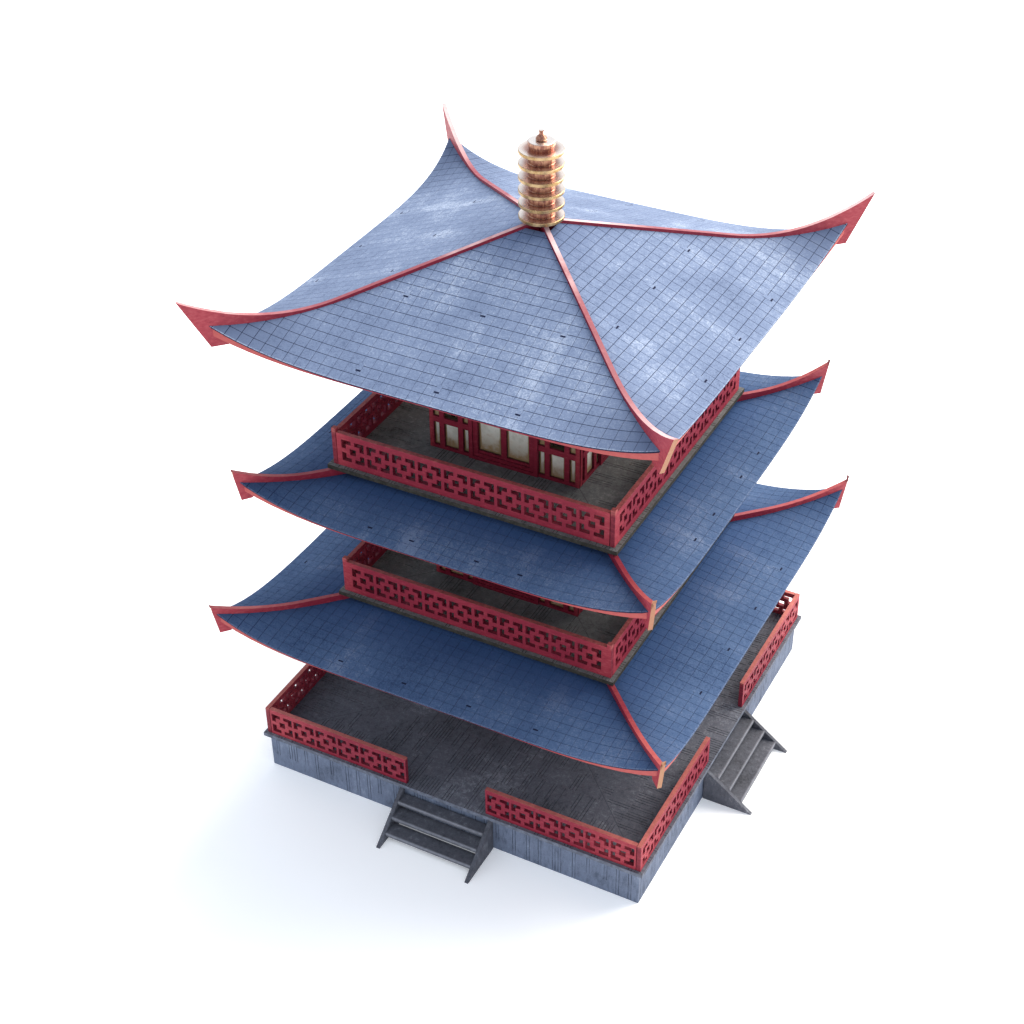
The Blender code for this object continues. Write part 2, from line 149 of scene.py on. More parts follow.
def apply_place(piece):
    clear_selection()
    piece.select_set(True)
    bpy.context.view_layer.objects.active = piece
    bpy.ops.object.transform_apply(location=True, rotation=True, scale=True)


def use_modifier(piece, kind, **settings):
    clear_selection()
    piece.select_set(True)
    bpy.context.view_layer.objects.active = piece
    modifier = piece.modifiers.new(kind.lower(), kind)
    for key, value in settings.items():
        setattr(modifier, key, value)
    bpy.ops.object.modifier_apply(modifier=modifier.name)


def thicken(piece, depth, offset=-1.0):
    """Gives a sheet its thickness, away from its face."""
    use_modifier(piece, "SOLIDIFY", thickness=depth, offset=offset, use_even_offset=True)


def ease_edges(piece, width, segments=1):
    """Rounds the sharp edges a little, as fine sandpaper does."""
    use_modifier(piece, "BEVEL", width=width, segments=segments, limit_method="ANGLE", harden_normals=False)


# %% [markdown]
# Four sides repeat. A part is modelled once, for the front, and a copy with its own mesh is turned to each other
# side. The object's origin stays at the middle of the pagoda, so a turn about the origin is all it takes.


# %% Copy round the four sides, and join
def copy_of(piece, name, turns=0):
    clear_selection()
    piece.select_set(True)
    bpy.context.view_layer.objects.active = piece
    bpy.ops.object.duplicate(linked=False)
    made = bpy.context.object
    made.name = made.data.name = name
    if turns:
        made.rotation_euler.z = turns * math.pi / 2
        apply_place(made)
    return made


def copy_to_side(piece, name, side):
    return copy_of(piece, name, SIDES.index(side))


def join(pieces):
    clear_selection()
    for piece in pieces:
        piece.select_set(True)
    bpy.context.view_layer.objects.active = pieces[0]
    if len(pieces) > 1:
        bpy.ops.object.join()
    return pieces[0]


def face_outward(piece):
    """Turns a closed piece's faces outward: its volume has to come out above zero."""
    work = bmesh.new()
    work.from_mesh(piece.data)
    inside_out = work.calc_volume(signed=True) < 0.0
    work.free()
    if inside_out:
        piece.data.flip_normals()


def store_mark(piece, name, value_at):
    """Stores one number for each vertex, which the paint can read."""
    mark = piece.data.attributes.get(name) or piece.data.attributes.new(name, "FLOAT", "POINT")
    for vert in piece.data.vertices:
        mark.data[vert.index].value = value_at(vert.co)


def mark_wash_and_shade(sheet, width):
    """A narrow strip inside every edge of a flat sheet, marked 1 at the edge, where the dark wash and painted shade
    settle.
    """
    with editing(sheet):
        bpy.ops.mesh.select_all(action="SELECT")
        bpy.ops.mesh.inset(thickness=width, depth=0.0, use_boundary=True, use_even_offset=True)
    work = bmesh.new()
    work.from_mesh(sheet.data)
    edge = {vert.index for vert in work.verts if vert.is_boundary}
    work.free()
    mark = sheet.data.attributes.get("seam") or sheet.data.attributes.new("seam", "FLOAT", "POINT")
    for vert in sheet.data.vertices:
        mark.data[vert.index].value = 1.0 if vert.index in edge else 0.0


def count_triangles(piece):
    return sum(len(face.vertices) - 2 for face in piece.data.polygons)


total = {"pieces": 0, "triangles": 0}


def set_in_place(piece, paint, nodes):
    """Paints a finished piece and ties it to the frame."""
    face_outward(piece)
    piece.data.materials.clear()
    piece.data.materials.append(paint)
    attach(piece, "root")
    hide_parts(*nodes)
    total["pieces"] += 1
    total["triangles"] += count_triangles(piece)


# %% [markdown]
# ## Mixing paint with sums
# A painted finish is a sum of masks: where the brush caught, where the wash settled, where a groove is dark. The
# masks are easiest to read as plain sums, so a small class wraps a socket, and adding or multiplying two of them
# adds the Math node. One method makes every other node.


# %% The sum class and the paint pot
class Wire:
    """One output of a node. Sums with it add their own Math nodes."""

    def __init__(self, pot, socket):
        self.pot, self.socket = pot, socket

    def sum(self, operation, *values):
        return self.pot.node("ShaderNodeMath", {"operation": operation}, dict(enumerate(values)))

    def __add__(self, other):
        return self.sum("ADD", self, other)

    __radd__ = __add__

    def __sub__(self, other):
        return self.sum("SUBTRACT", self, other)

    def __rsub__(self, other):
        return self.sum("SUBTRACT", other, self)

    def __mul__(self, other):
        return self.sum("MULTIPLY", self, other)

    __rmul__ = __mul__

    def __truediv__(self, other):
        return self.sum("DIVIDE", self, other)

    def __pow__(self, other):
        return self.sum("POWER", self, other)

    def size(self):
        return self.sum("ABSOLUTE", self)

    def larger(self, other):
        return self.sum("MAXIMUM", self, other)

    def smaller(self, other):
        return self.sum("MINIMUM", self, other)

    def whole(self):
        return self.sum("FLOOR", self)

    def between(self, low, high):
        """0 below low, 1 above high, and a soft step between."""
        settings = {"interpolation_type": "SMOOTHSTEP", "clamp": True}
        return self.pot.node("ShaderNodeMapRange", settings, {"Value": self, "From Min": low, "From Max": high})


class Pot:
    """A paint being mixed: one material, and the nodes in it."""

    def __init__(self, name, roughness=0.6, metallic=0.0, specular=0.35):
        self.material = bpy.data.materials.new(name)
        self.material.use_nodes = True
        self.tree = self.material.node_tree
        self.shader = self.tree.nodes["Principled BSDF"]
        self.shader.inputs["Roughness"].default_value = roughness
        self.shader.inputs["Metallic"].default_value = metallic
        self.shader.inputs["Specular IOR Level"].default_value = specular

    def set_input(self, socket, value):
        if isinstance(value, Wire):
            self.tree.links.new(value.socket, socket)
        elif isinstance(value, tuple) and len(value) == 3 and len(socket.default_value) == 4:
            socket.default_value = (*value, 1.0)
        else:
            socket.default_value = value

    def node(self, kind, settings=None, inputs=None, output=0):
        made = self.tree.nodes.new(kind)
        for key, value in (settings or {}).items():
            setattr(made, key, value)
        for key, value in (inputs or {}).items():
            self.set_input(made.inputs[key], value)
        return Wire(self, made.outputs[output])

    def blend(self, share, first, second, how="MIX"):
        """A colour between two others."""
        settings = {"data_type": "RGBA", "blend_type": how, "clamp_factor": True}
        return self.node("ShaderNodeMix", settings, {0: share, 6: first, 7: second}, output=2)

    def place(self):
        return self.node("ShaderNodeTexCoord", output="Object")

    def noise(self, at, scale, detail=3.0, roughness=0.55, distortion=0.0):
        inputs = {"Vector": at, "Scale": scale, "Detail": detail, "Roughness": roughness, "Distortion": distortion}
        return self.node("ShaderNodeTexNoise", {}, inputs)

    def stretched(self, at, scale):
        return self.node("ShaderNodeVectorMath", {"operation": "MULTIPLY"}, {0: at, 1: scale})

    def axis(self, at, name):
        return self.node("ShaderNodeSeparateXYZ", {}, {0: at}, output=name)

    def attribute(self, name):
        return self.node("ShaderNodeAttribute", {"attribute_name": name}, output="Fac")

    def facing_up(self):
        """The upward share of the face's own direction."""
        return self.axis(self.node("ShaderNodeNewGeometry", output="True Normal"), "Z")

    def bump(self, height, strength, distance):
        inputs = {"Strength": strength, "Distance": distance, "Height": height}
        self.finish(Normal=self.node("ShaderNodeBump", {}, inputs))

    def finish(self, **inputs):
        for key, value in inputs.items():
            self.set_input(self.shader.inputs[key.replace("_", " ")], value)
        return self.material


# %% [markdown]
# ## The red paint
# Railings, walls, ribs and eave boards are sprayed or brushed crimson, then dry-brushed with salmon and cream,
# which catches on top edges; the pale tops are also a painted highlight. A dark wash, with painted shade, sits in
# the low places and along cut edges, and painted light turns the red warmer toward corners and tips. A plain red
# would look like plastic, so two noises shift the hue. Where the brush and the painted highlight go is stored on the
# piece itself as a mark, so cut openings stay dark.


# %% Mix the red
CRIMSON, SCARLET = (0.235, 0.014, 0.034), (0.37, 0.038, 0.055)
WORN_RED, RED_WASH_AND_SHADE = (0.50, 0.105, 0.115), (0.085, 0.006, 0.018)
SALMON_HIGHLIGHT, SHEEN_PINK, TAN = (0.56, 0.165, 0.135), (0.74, 0.50, 0.50), (0.42, 0.20, 0.10)


def brushed_red(pot, at, painted_light):
    """The crimson itself, painted warmer and brighter as its last argument nears 1: painted light."""
    patches = pot.noise(at, 38.0, 3.0)
    brush = pot.noise(pot.stretched(at, (1.0, 1.0, 2.5)), 420.0, 4.0, 0.65)
    red = pot.blend((patches * 0.7 + painted_light).between(0.3, 1.1), CRIMSON, SCARLET)
    red = pot.blend((brush + painted_light * 0.15).between(0.52, 0.85) * 0.5, red, WORN_RED)
    return pot.blend(brush.between(0.46, 0.22) * 0.6, red, RED_WASH_AND_SHADE), brush


def board_red(name, highlight_bias, lit_from):
    """Boards: the top edge is dry-brushed paler and given a painted highlight; a dark wash with painted shade runs
    along the cut edges.
    """
    pot = Pot(name, specular=0.25)
    at = pot.place()
    out = pot.axis(at, "X").size().larger(pot.axis(at, "Y").size())
    along = pot.axis(at, "X").size().smaller(pot.axis(at, "Y").size())
    # Painted light: the red turns warmer and brighter toward the corners, where more light falls.
    red, brush = brushed_red(pot, at, (along / out).between(lit_from, 1.0) * 0.55)
    fine = pot.noise(at, 1900.0, 2.0, 0.6)
    # A dark wash with painted shade along cut edges and openings, where shade falls in the recesses.
    seam = pot.attribute("seam").between(0.2, 1.0)
    painted = pot.blend(seam * (1.05 - brush), red, RED_WASH_AND_SHADE)
    # Dry brush and painted highlight: the marked top edge turns salmon.
    rubbed = (pot.attribute("rubbed") ** 4.0) * (brush * 0.9 + fine * 0.5 + highlight_bias)
    painted = pot.blend(rubbed, painted, SALMON_HIGHLIGHT)
    pot.bump(fine * 0.4 + brush, 0.25, 0.00008)
    return pot.finish(Base_Color=painted, Roughness=0.68 - brush * 0.18)


def eave_paint():
    """Eave boards are in the roof's shade: dark red in the middle, salmon toward the corners."""
    pot = Pot("eave_red", specular=0.25)
    at = pot.place()
    out = pot.axis(at, "X").size().larger(pot.axis(at, "Y").size())
    along = pot.axis(at, "X").size().smaller(pot.axis(at, "Y").size())
    red, brush = brushed_red(pot, at, 0.2)
    corner = (along / out).between(0.35, 0.85)
    painted = pot.blend(corner * (0.5 + brush * 0.7), red, (0.50, 0.105, 0.095))
    pot.bump(brush, 0.25, 0.00008)
    return pot.finish(Base_Color=painted, Roughness=0.68 - brush * 0.18)


def rib_paint(name, highlight_colour, low_highlight, high_highlight, tip_from, tip_to):
    """Ribs: the tops carry pale patches of painted highlight and painted reflection, the tips are painted warmer as
    painted light, and the cut ends are bare tan.
    """
    pot = Pot(name, specular=0.3)
    at = pot.place()
    level = pot.stretched(at, (1.0, 1.0, 0.0))
    radius = pot.node("ShaderNodeVectorMath", {"operation": "LENGTH"}, {0: level}, output="Value")
    tip = radius.between(tip_from, tip_to)
    # Painted light: the red turns warmer toward the tips.
    red, brush = brushed_red(pot, at, tip * 0.6)
    fine = pot.noise(at, 1900.0, 2.0, 0.6)
    sheen_patches = pot.noise(at, 34.0, 2.0)
    apex = 1.0 - radius.between(0.028, 0.052)
    share = apex.larger(tip) * high_highlight + low_highlight
    # Painted highlight and reflection: faces that look up turn pale in patches, most near the apex and the tips.
    up = pot.facing_up().between(0.45, 0.85) * share
    painted = pot.blend(up * (sheen_patches.between(0.3, 0.6) * 0.7 + brush * 0.6), red, highlight_colour)
    normal = pot.node("ShaderNodeNewGeometry", output="True Normal")
    outward = pot.node("ShaderNodeVectorMath", {"operation": "NORMALIZE"}, {0: level})
    facing_out = pot.node("ShaderNodeVectorMath", {"operation": "DOT_PRODUCT"}, {0: normal, 1: outward}, "Value")
    end = facing_out.between(0.75, 0.9) * tip
    painted = pot.blend(end * (0.75 + brush * 0.4), painted, TAN)
    pot.bump(fine * 0.4 + brush, 0.25, 0.00008)
    return pot.finish(Base_Color=painted, Roughness=0.55 - brush * 0.18)


railing_red = board_red("railing_red", 0.05, 0.45)
balcony_red = board_red("balcony_railing_red", -0.30, 0.75)
wall_red = board_red("wall_red", 0.0, 0.9)
eave_red = eave_paint()
rib_red = rib_paint("rib_red", SHEEN_PINK, 0.12, 0.85, 0.095, 0.150)
lower_rib_red = rib_paint("lower_rib_red", SALMON_HIGHLIGHT, 0.15, 0.30, 0.100, 0.150)
print("red paints:", railing_red.name, balcony_red.name, wall_red.name, rib_red.name)

# %% [markdown]
# ## Railings
# A railing is one board cut through with a key-fret pattern: each unit has four L-shaped holes round a square one.
# It could be cut with 60 Boolean boxes, but straight cuts through one unit, with the hole cells deleted, give clean
# quads. The unit is then repeated with an Array and its end cells are stretched to the board's ends.

# %% The fret unit
FRET_LINES_X = (0.95, 1.5, 3.5, 5.6)
FRET_LINES_Y = (1.1, 1.55, 3.5, 5.4)
DECK_TOP = 21.5 * MM
BALCONY_TOPS = (98.5 * MM, 169.7 * MM)
RAIL_GAP = 0.3 * MM


def in_fret_hole(x, y):
    x, y = abs(x) / MM, abs(y) / MM
    square = x < 1.5 and y < 1.55
    upright_arm = 3.5 < x < 5.6 and 1.1 < y < 5.4
    level_arm = 0.95 < x < 5.6 and 3.5 < y < 5.4
    return square or upright_arm or level_arm


def fret_board(name, left, right, floor, height, hole_middle, pitch, count, tab=0.0):
    """A railing board with its fret and tabs, still lying flat and without thickness. Lengths are in metres, in side
    view.
    """
    mid_y = floor + hole_middle
    board = add_sheet(name, -pitch / 2, pitch / 2, floor, floor + height)
    across = [side * line * MM for line in FRET_LINES_X for side in (-1, 1)]
    up = [mid_y + side * line * MM for line in FRET_LINES_Y for side in (-1, 1)]
    cut_lines(board, across, up)
    cut_out(board, lambda at: in_fret_hole(at.x, at.y - mid_y))
    use_modifier(
        board, "ARRAY", count=count, use_relative_offset=False, use_constant_offset=True,
        constant_offset_displace=(pitch, 0.0, 0.0), use_merge_vertices=True, merge_threshold=0.01 * MM,
    )
    first, last = -pitch / 2, pitch * (count - 0.5)
    shift = (left + right) / 2 - (first + last) / 2
    stretch = (right - left) / 2 - (last - first) / 2
    with editing(board, "VERT"):
        bpy.ops.mesh.select_all(action="SELECT")
        bpy.ops.transform.translate(value=(shift, 0.0, 0.0))
        for end, way in ((first + shift, -1), (last + shift, 1)):
            pick(board, lambda at: abs(at.x - end) < 0.01 * MM, "verts")
            bpy.ops.transform.translate(value=(way * stretch, 0.0, 0.0))
    if tab:
        cut_lines(board, across=(left + tab, right - tab))
        with editing(board, "EDGE"):
            top, inner = floor + height, (right - left) / 2 - tab
            pick(board, lambda at: abs(at.y - top) < 0.01 * MM and abs(at.x) > inner, "edges")
            bpy.ops.mesh.extrude_region_move(TRANSFORM_OT_translate={"value": (0.0, 1.7 * MM, 0.0)})
    edge = floor + height - 0.01 * MM
    mark_wash_and_shade(board, 0.22 * MM)
    # The top edge is marked for the dry brush and the painted highlight.
    store_mark(board, "rubbed", lambda at: 1.0 if at.y > edge else 0.0)
    return board


def set_up_board(board, face_y):
    stand_up(board, face_y)
    thicken(board, BOARD)


# %% The eight ground railings
GROUND_RAIL_FACE = 98.4 * MM
STAIR_GAP = 20.95 * MM
for side in SIDES:
    runs_through = side in ("right", "left")
    end = GROUND_RAIL_FACE if runs_through else GROUND_RAIL_FACE - BOARD - RAIL_GAP
    for hand, left, right in (("left", -end, -STAIR_GAP), ("right", STAIR_GAP, end)):
        name = f"ground_{side}_railing_{hand}"
        board = fret_board(
            f"{name}_fret", left, right, DECK_TOP, 15.3 * MM, 7.35 * MM, 12.4 * MM, 6
        )
        set_up_board(board, -GROUND_RAIL_FACE)
        made = copy_to_side(board, f"{name}_board", side)
        bpy.data.objects.remove(board, do_unlink=True)
        set_in_place(made, railing_red, [name])
print("a ground railing has", count_triangles(made), "triangles")

# %% The eight balcony railings
BALCONY_RAIL_FACE = 67.8 * MM
for number, floor in enumerate(BALCONY_TOPS, start=1):
    for side in SIDES:
        runs_through = (side in ("front", "back")) == (number == 1)
        half = BALCONY_RAIL_FACE if runs_through else BALCONY_RAIL_FACE - BOARD - RAIL_GAP
        name = f"balcony_{number}_{side}_railing"
        board = fret_board(
            f"{name}_fret", -half, half, floor, 16.8 * MM, 8.5 * MM, 12.76 * MM, 10,
            tab=2.2 * MM if runs_through else 0.0,
        )
        set_up_board(board, -BALCONY_RAIL_FACE)
        made = copy_to_side(board, f"{name}_board", side)
        bpy.data.objects.remove(board, do_unlink=True)
        set_in_place(made, balcony_red, [name])
print("a balcony railing has", count_triangles(made), "triangles")

# %% [markdown]
# ## The curved roofs
# A roof is thin card bent over four hip ribs. Its height is a rule: along a hip it follows the rib, straight to a
# knee and then sweeping up, and between the hips it sags towards a straight line down the middle of the side. The
# card is drawn flat with its tiles, as it was before it was bent, and each point is then carried on to the surface.


# %% The rule of a roof
class Roof:
    """Heights and edges of one roof: s is the distance out from the axis, x across, d along both for a hip."""

    def __init__(self, name, **sizes):
        self.name = name
        self.__dict__.update(sizes)
        self.columns = {}

    def hip(self, d):
        return self.hip_start - self.hip_fall * d + self.hip_lift * max(0.0, d - self.hip_knee) ** 2

    def middle(self, s):
        share = (s - self.mid_from) / (self.eave_mid - self.mid_from)
        return self.mid_start + (self.eave_mid_height - self.mid_start) * share

    def height(self, s, x):
        share = min(abs(x) / s, 1.1)
        low = self.middle(s)
        return low + (self.hip(s) - low) * share ** self.lift_power

    def eave(self, x):
        s = self.eave_mid
        for _ in range(12):
            share = min(abs(x) / s, 1.0)
            s = self.eave_mid + (self.eave_tip - self.eave_mid) * share ** self.eave_power
        return s

    def rib_top(self, d):
        if d < self.rib_flat:
            return self.rib_level
        return self.rib_start - self.rib_fall * d + self.rib_lift * max(0.0, d - self.rib_knee) ** 2

    def column(self, x):
        """Places s down one column of the card, one for each millimetre of card up from the eave."""
        key = round(abs(x) / MM, 2)
        if key not in self.columns:
            s, places = self.eave(x), []
            for _ in range(116):
                places.append(s)
                slope = (self.height(s, x) - self.height(s - 0.0005, x)) / 0.0005
                s = max(s - MM / math.hypot(1.0, slope), 0.002)
            self.columns[key] = places
        return self.columns[key]

    def bend(self, x, up, lift=0.0):
        """Carries a point of the flat card, x across and up from the eave, on to the roof."""
        places = self.column(x)
        step = min(max(up / MM, 0.0), 114.0)
        first = int(step)
        s = places[first] + (places[first + 1] - places[first]) * (step - first)
        return Vector((x, -s, self.height(s, x) + lift))


top_roof = Roof(
    "roof_3",
    hip_start=0.2722, hip_fall=0.36, hip_lift=7.0, hip_knee=0.058,
    mid_from=0.0, mid_start=0.2722, eave_mid=0.0977, eave_tip=0.1018, eave_mid_height=0.2361,
    eave_power=5.2, lift_power=4.3, inner=0.0045,
    rib_flat=0.0014, rib_level=0.2732, rib_start=0.2733, rib_fall=0.36, rib_lift=12.0, rib_knee=0.062,
    tip=(0.1091, 0.2607), toe_front=(0.1007, 0.2380), toe_rear=(0.0955, 0.2381),
    rib_inner=0.0, rib_depth=0.0098, fascia_depth=0.0013, fascia_corner_depth=0.0042,
    card_up=0.098, rafters=(0.0, 36.0), tab_rows=(9.2, 50.5),
)
middle_roof = Roof(
    "roof_2",
    hip_start=0.1635, hip_fall=0.0, hip_lift=5.4, hip_knee=0.064,
    mid_from=0.070, mid_start=0.1637, eave_mid=0.0978, eave_tip=0.0983, eave_mid_height=0.1588,
    eave_power=2.5, lift_power=4.2, inner=0.0590,
    rib_flat=0.072, rib_level=0.1674, rib_start=0.1668, rib_fall=0.0, rib_lift=13.5, rib_knee=0.0745,
    tip=(0.0999, 0.1771), toe_front=(0.0976, 0.1596), toe_rear=(0.0940, 0.1600),
    rib_inner=0.03695, rib_depth=0.0090, fascia_depth=0.0012, fascia_corner_depth=0.0036,
    card_up=0.038, rafters=(15.6, 36.0), tab_rows=(9.2,),
)
low_roof = Roof(
    "roof_1",
    hip_start=0.0937, hip_fall=0.0, hip_lift=5.5, hip_knee=0.075,
    mid_from=0.070, mid_start=0.0937, eave_mid=0.1096, eave_tip=0.1110, eave_mid_height=0.0879,
    eave_power=2.4, lift_power=4.8, inner=0.0590,
    rib_flat=0.072, rib_level=0.0962, rib_start=0.0965, rib_fall=0.0, rib_lift=8.5, rib_knee=0.082,
    tip=(0.1122, 0.1070), toe_front=(0.1098, 0.0887), toe_rear=(0.1060, 0.0890),
    rib_inner=0.03695, rib_depth=0.0090, fascia_depth=0.0012, fascia_corner_depth=0.0038,
    card_up=0.050, rafters=(16.3, 49.0), tab_rows=(9.2,),
)
print("length of card down the middle of the top roof, mm:", round(0.0977 * math.hypot(1.0, 0.37) / MM, 1))

# %% [markdown]
# ## The blue card
# The roofs are a slate blue, stippled and dry-brushed with paler blue. The engraved lines between the tiles stay
# dark, single tiles are a shade apart, and a pale line runs down over each rafter, where the brush caught. Painted
# shade darkens the card toward its upper edge, its tips, its cut edges and undersides, and the gaps of the tab slots.
# The pattern follows the flat card, so it reads the card's own map, which holds the distance across and up in metres.


# %% Mix the blue
CARD_MAP_SPAN = 0.24
TILE_ACROSS = 5.2 * MM
TILE_UP = 5.0 * MM
INK_AND_SHADE = (0.010, 0.014, 0.040)


def blue_paint(name, dark, base, pale, deep_blue_shade, shade_starts, shade_full, rafters, shaded_corner):
    pot = Pot(name, specular=0.1)
    at = pot.place()
    flat = pot.node("ShaderNodeUVMap", {"uv_map": "card"})
    across = (pot.axis(flat, "X") - 0.5) * CARD_MAP_SPAN
    up = pot.axis(flat, "Y") * CARD_MAP_SPAN
    clouds = pot.noise(at, 26.0, 4.0, 0.6)
    stipple = pot.noise(at, 520.0, 5.0, 0.8)
    grain = pot.noise(at, 1500.0, 3.0, 0.75)
    tile = pot.node("ShaderNodeCombineXYZ", {}, {0: (across / TILE_ACROSS).whole(), 1: (up / TILE_UP).whole()})
    shade = pot.node("ShaderNodeTexWhiteNoise", {"noise_dimensions": "2D"}, {"Vector": tile})
    streak = 0.0
    for rafter in rafters:
        off = (across.size() - rafter * MM).size() / MM + (stipple - 0.5) * 5.0
        streak = 1.0 - off.between(0.5, 7.0) + streak
    tone = (clouds - 0.5) * 1.1 + (stipple - 0.5) * 1.0 + (grain - 0.5) * 1.1 + shade * 0.05
    tone = tone + streak * clouds.between(0.35, 0.65) * 0.16
    paint = pot.blend(tone.between(-0.48, 0.08), dark, base)
    paint = pot.blend(tone.between(0.04, 0.55), paint, pale)
    # Painted shade, with some darker paint: the card darkens toward its upper edge, under the roof above on the lower
    # roofs and round the finial on the top roof.
    upper_shade = up.between(shade_starts, shade_full)
    paint = pot.blend(upper_shade * (0.55 + clouds * 0.5), paint, deep_blue_shade)
    out = pot.axis(at, "X").size().larger(pot.axis(at, "Y").size())
    hip = across.size() / out
    paint = pot.blend(hip.between(0.78, 1.02) * (0.2 + clouds * 0.45), paint, dark)
    corner = hip.between(0.55, 0.95) * out.between(0.070, 0.096)
    paint = pot.blend(corner * shaded_corner, paint, dark)
    groove = pot.attribute("groove").between(0.05, 0.7)
    broken = pot.noise(at, 95.0, 3.0).between(0.35, 0.65)
    faded = pot.noise(at, 21.0, 2.0).between(0.38, 0.60)
    lined = pot.blend(groove * (0.12 + broken * 0.30 + faded * 0.40), paint, INK_AND_SHADE)
    rim = up.between(0.75 * MM, 0.35 * MM)
    lined = pot.blend(rim * grain.between(0.35, 0.6) * 0.75, lined, pale)
    # Painted shade: the short block at the foot of each tab is near-black, where the slot's gap lies in shade.
    slot = pot.attribute("slot")
    lined = pot.blend(slot, lined, INK_AND_SHADE)
    # Painted shade: faces that do not look up, the card's cut edges and undersides, are painted near-black navy, partly
    # the card's own dark edge and partly painted shade.
    side_on = pot.facing_up().between(0.72, 0.60)
    painted = pot.blend(side_on, lined, INK_AND_SHADE)
    pot.bump(grain * 0.8 + stipple, 0.5, 0.00014)
    return pot.finish(Base_Color=painted, Roughness=0.9 - stipple * 0.2)


top_blue = blue_paint(
    "top_roof_blue", (0.088, 0.118, 0.200), (0.172, 0.220, 0.340), (0.37, 0.43, 0.56), (0.085, 0.122, 0.23),
    0.068, 0.105, top_roof.rafters, 0.75,
)
middle_blue = blue_paint(
    "middle_roof_blue", (0.030, 0.058, 0.135), (0.070, 0.118, 0.228), (0.170, 0.220, 0.34), (0.025, 0.062, 0.17),
    0.006, 0.034, middle_roof.rafters, 0.35,
)
low_blue = blue_paint(
    "low_roof_blue", (0.030, 0.058, 0.135), (0.070, 0.118, 0.228), (0.170, 0.220, 0.34), (0.025, 0.062, 0.17),
    0.008, 0.046, low_roof.rafters, 0.35,
)
print("blue paints:", top_blue.name, middle_blue.name, low_blue.name)

# %% [markdown]
# ## One card, then its three copies
# The flat card is a grid of tiles. Each tile is inset and raised a tenth of a millimetre, which leaves a fine groove
# round it, as the engraving does. The card is then bent, trimmed along both hips and thickened to 0.7 mm.

# %% Tile, bend and trim a card
GROOVE_HALF = 0.13 * MM
GROOVE_DEPTH = 0.12 * MM
HIP_ROOM = 1.5 * MM


def map_card(card):
    """Writes the flat card's own places into a map before it is bent."""
    layer = card.data.uv_layers[0] if card.data.uv_layers else card.data.uv_layers.new(name="card")
    layer.name = "card"
    for loop in card.data.loops:
        at = card.data.vertices[loop.vertex_index].co
        layer.data[loop.index].uv = (at.x / CARD_MAP_SPAN + 0.5, at.y / CARD_MAP_SPAN)


def roof_card(roof):
    half_tiles = math.ceil(roof.eave_tip / TILE_ACROSS)
    rows = int(roof.card_up / TILE_UP)
    width, reach = half_tiles * TILE_ACROSS, rows * TILE_UP
    card = add_sheet(f"{roof.name}_card", -width, width, 0.0, roof.card_up)
    cut_lines(
        card, [i * TILE_ACROSS for i in range(1 - half_tiles, half_tiles)], [i * TILE_UP for i in range(1, rows + 1)]
    )
    beyond = 1.6 * TILE_ACROSS
    cut_out(card, lambda at: abs(at.x) > roof.column(at.x)[min(int(at.y / MM), 114)] + beyond)
    with editing(card):
        bpy.ops.mesh.select_all(action="SELECT")
        bpy.ops.mesh.inset(thickness=GROOVE_HALF, depth=GROOVE_DEPTH, use_individual=True, use_even_offset=True)
    store_mark(card, "groove", lambda at: 1.0 if at.z < GROOVE_DEPTH / 2 else 0.0)
    map_card(card)
    for vert in card.data.vertices:
        vert.co = roof.bend(vert.co.x, vert.co.y, vert.co.z - GROOVE_DEPTH)
    for way in (-1, 1):
        cut_away(card, (way * HIP_ROOM * -1, 0.0, 0.0), (way, 1.0, 0.0))
    cut_away(card, (0.0, -roof.inner, 0.0), (0.0, 1.0, 0.0))
    with editing(card):
        bpy.ops.mesh.select_all(action="SELECT")
        bpy.ops.mesh.normals_make_consistent(inside=False)
    if sum(face.normal.z for face in card.data.polygons) < 0:
        card.data.flip_normals()
    thicken(card, CARD)
    return card


# %% [markdown]
# The rafters under the card have tabs that come up through it. Each shows as a small bar in a dark slot: two flat
# blocks, laid on the slope at the tab's place. The short block is painted near-black, as painted shade in the gap.


# %% Lay the tabs
def laid_block(roof, x, up, length, proud, dark):
    """A thin block on the slope, with its top a little above the card."""
    clear_selection()
    bpy.ops.mesh.primitive_cube_add(size=1.0)
    block = bpy.context.object
    here, above = roof.bend(x, up), roof.bend(x, up + MM)
    slope = math.atan2(above.z - here.z, above.y - here.y)
    width, depth = 2.3 * MM, 0.4 * MM
    block.matrix_world = (
        Matrix.Translation(here) @ Matrix.Rotation(slope, 4, "X")
        @ Matrix.Translation((0.0, 0.0, proud - depth / 2)) @ Matrix.Diagonal((width, length, depth, 1.0))
    )
    apply_place(block)
    store_mark(block, "slot", lambda at: dark)
    block.data.uv_layers[0].name = "card"
    for loop in block.data.uv_layers[0].data:
        loop.uv = (x / CARD_MAP_SPAN + 0.5, up / CARD_MAP_SPAN)
    return block


def rafter_tabs(roof):
    """The tab fills its slot but for a gap at the lower end, where a near-black block stands as painted shade."""
    blocks = []
    for x in (*roof.rafters, *(-x for x in roof.rafters if x)):
        for row in roof.tab_rows:
            blocks.append(laid_block(roof, x * MM, (row - 1.9) * MM, 0.75 * MM, 0.05 * MM, 1.0))
            blocks.append(laid_block(roof, x * MM, (row + 0.3) * MM, 3.6 * MM, 0.07 * MM, 0.0))
    return blocks


for roof, paint in ((low_roof, low_blue), (middle_roof, middle_blue), (top_roof, top_blue)):
    card = join([roof_card(roof)] + rafter_tabs(roof))
    for side in SIDES:
        name = f"{roof.name}_{side}_cover"
        made = copy_to_side(card, f"{name}_tiled", side)
        set_in_place(made, paint, [name])
    print(roof.name, "card:", count_triangles(card), "triangles")
    bpy.data.objects.remove(card, do_unlink=True)

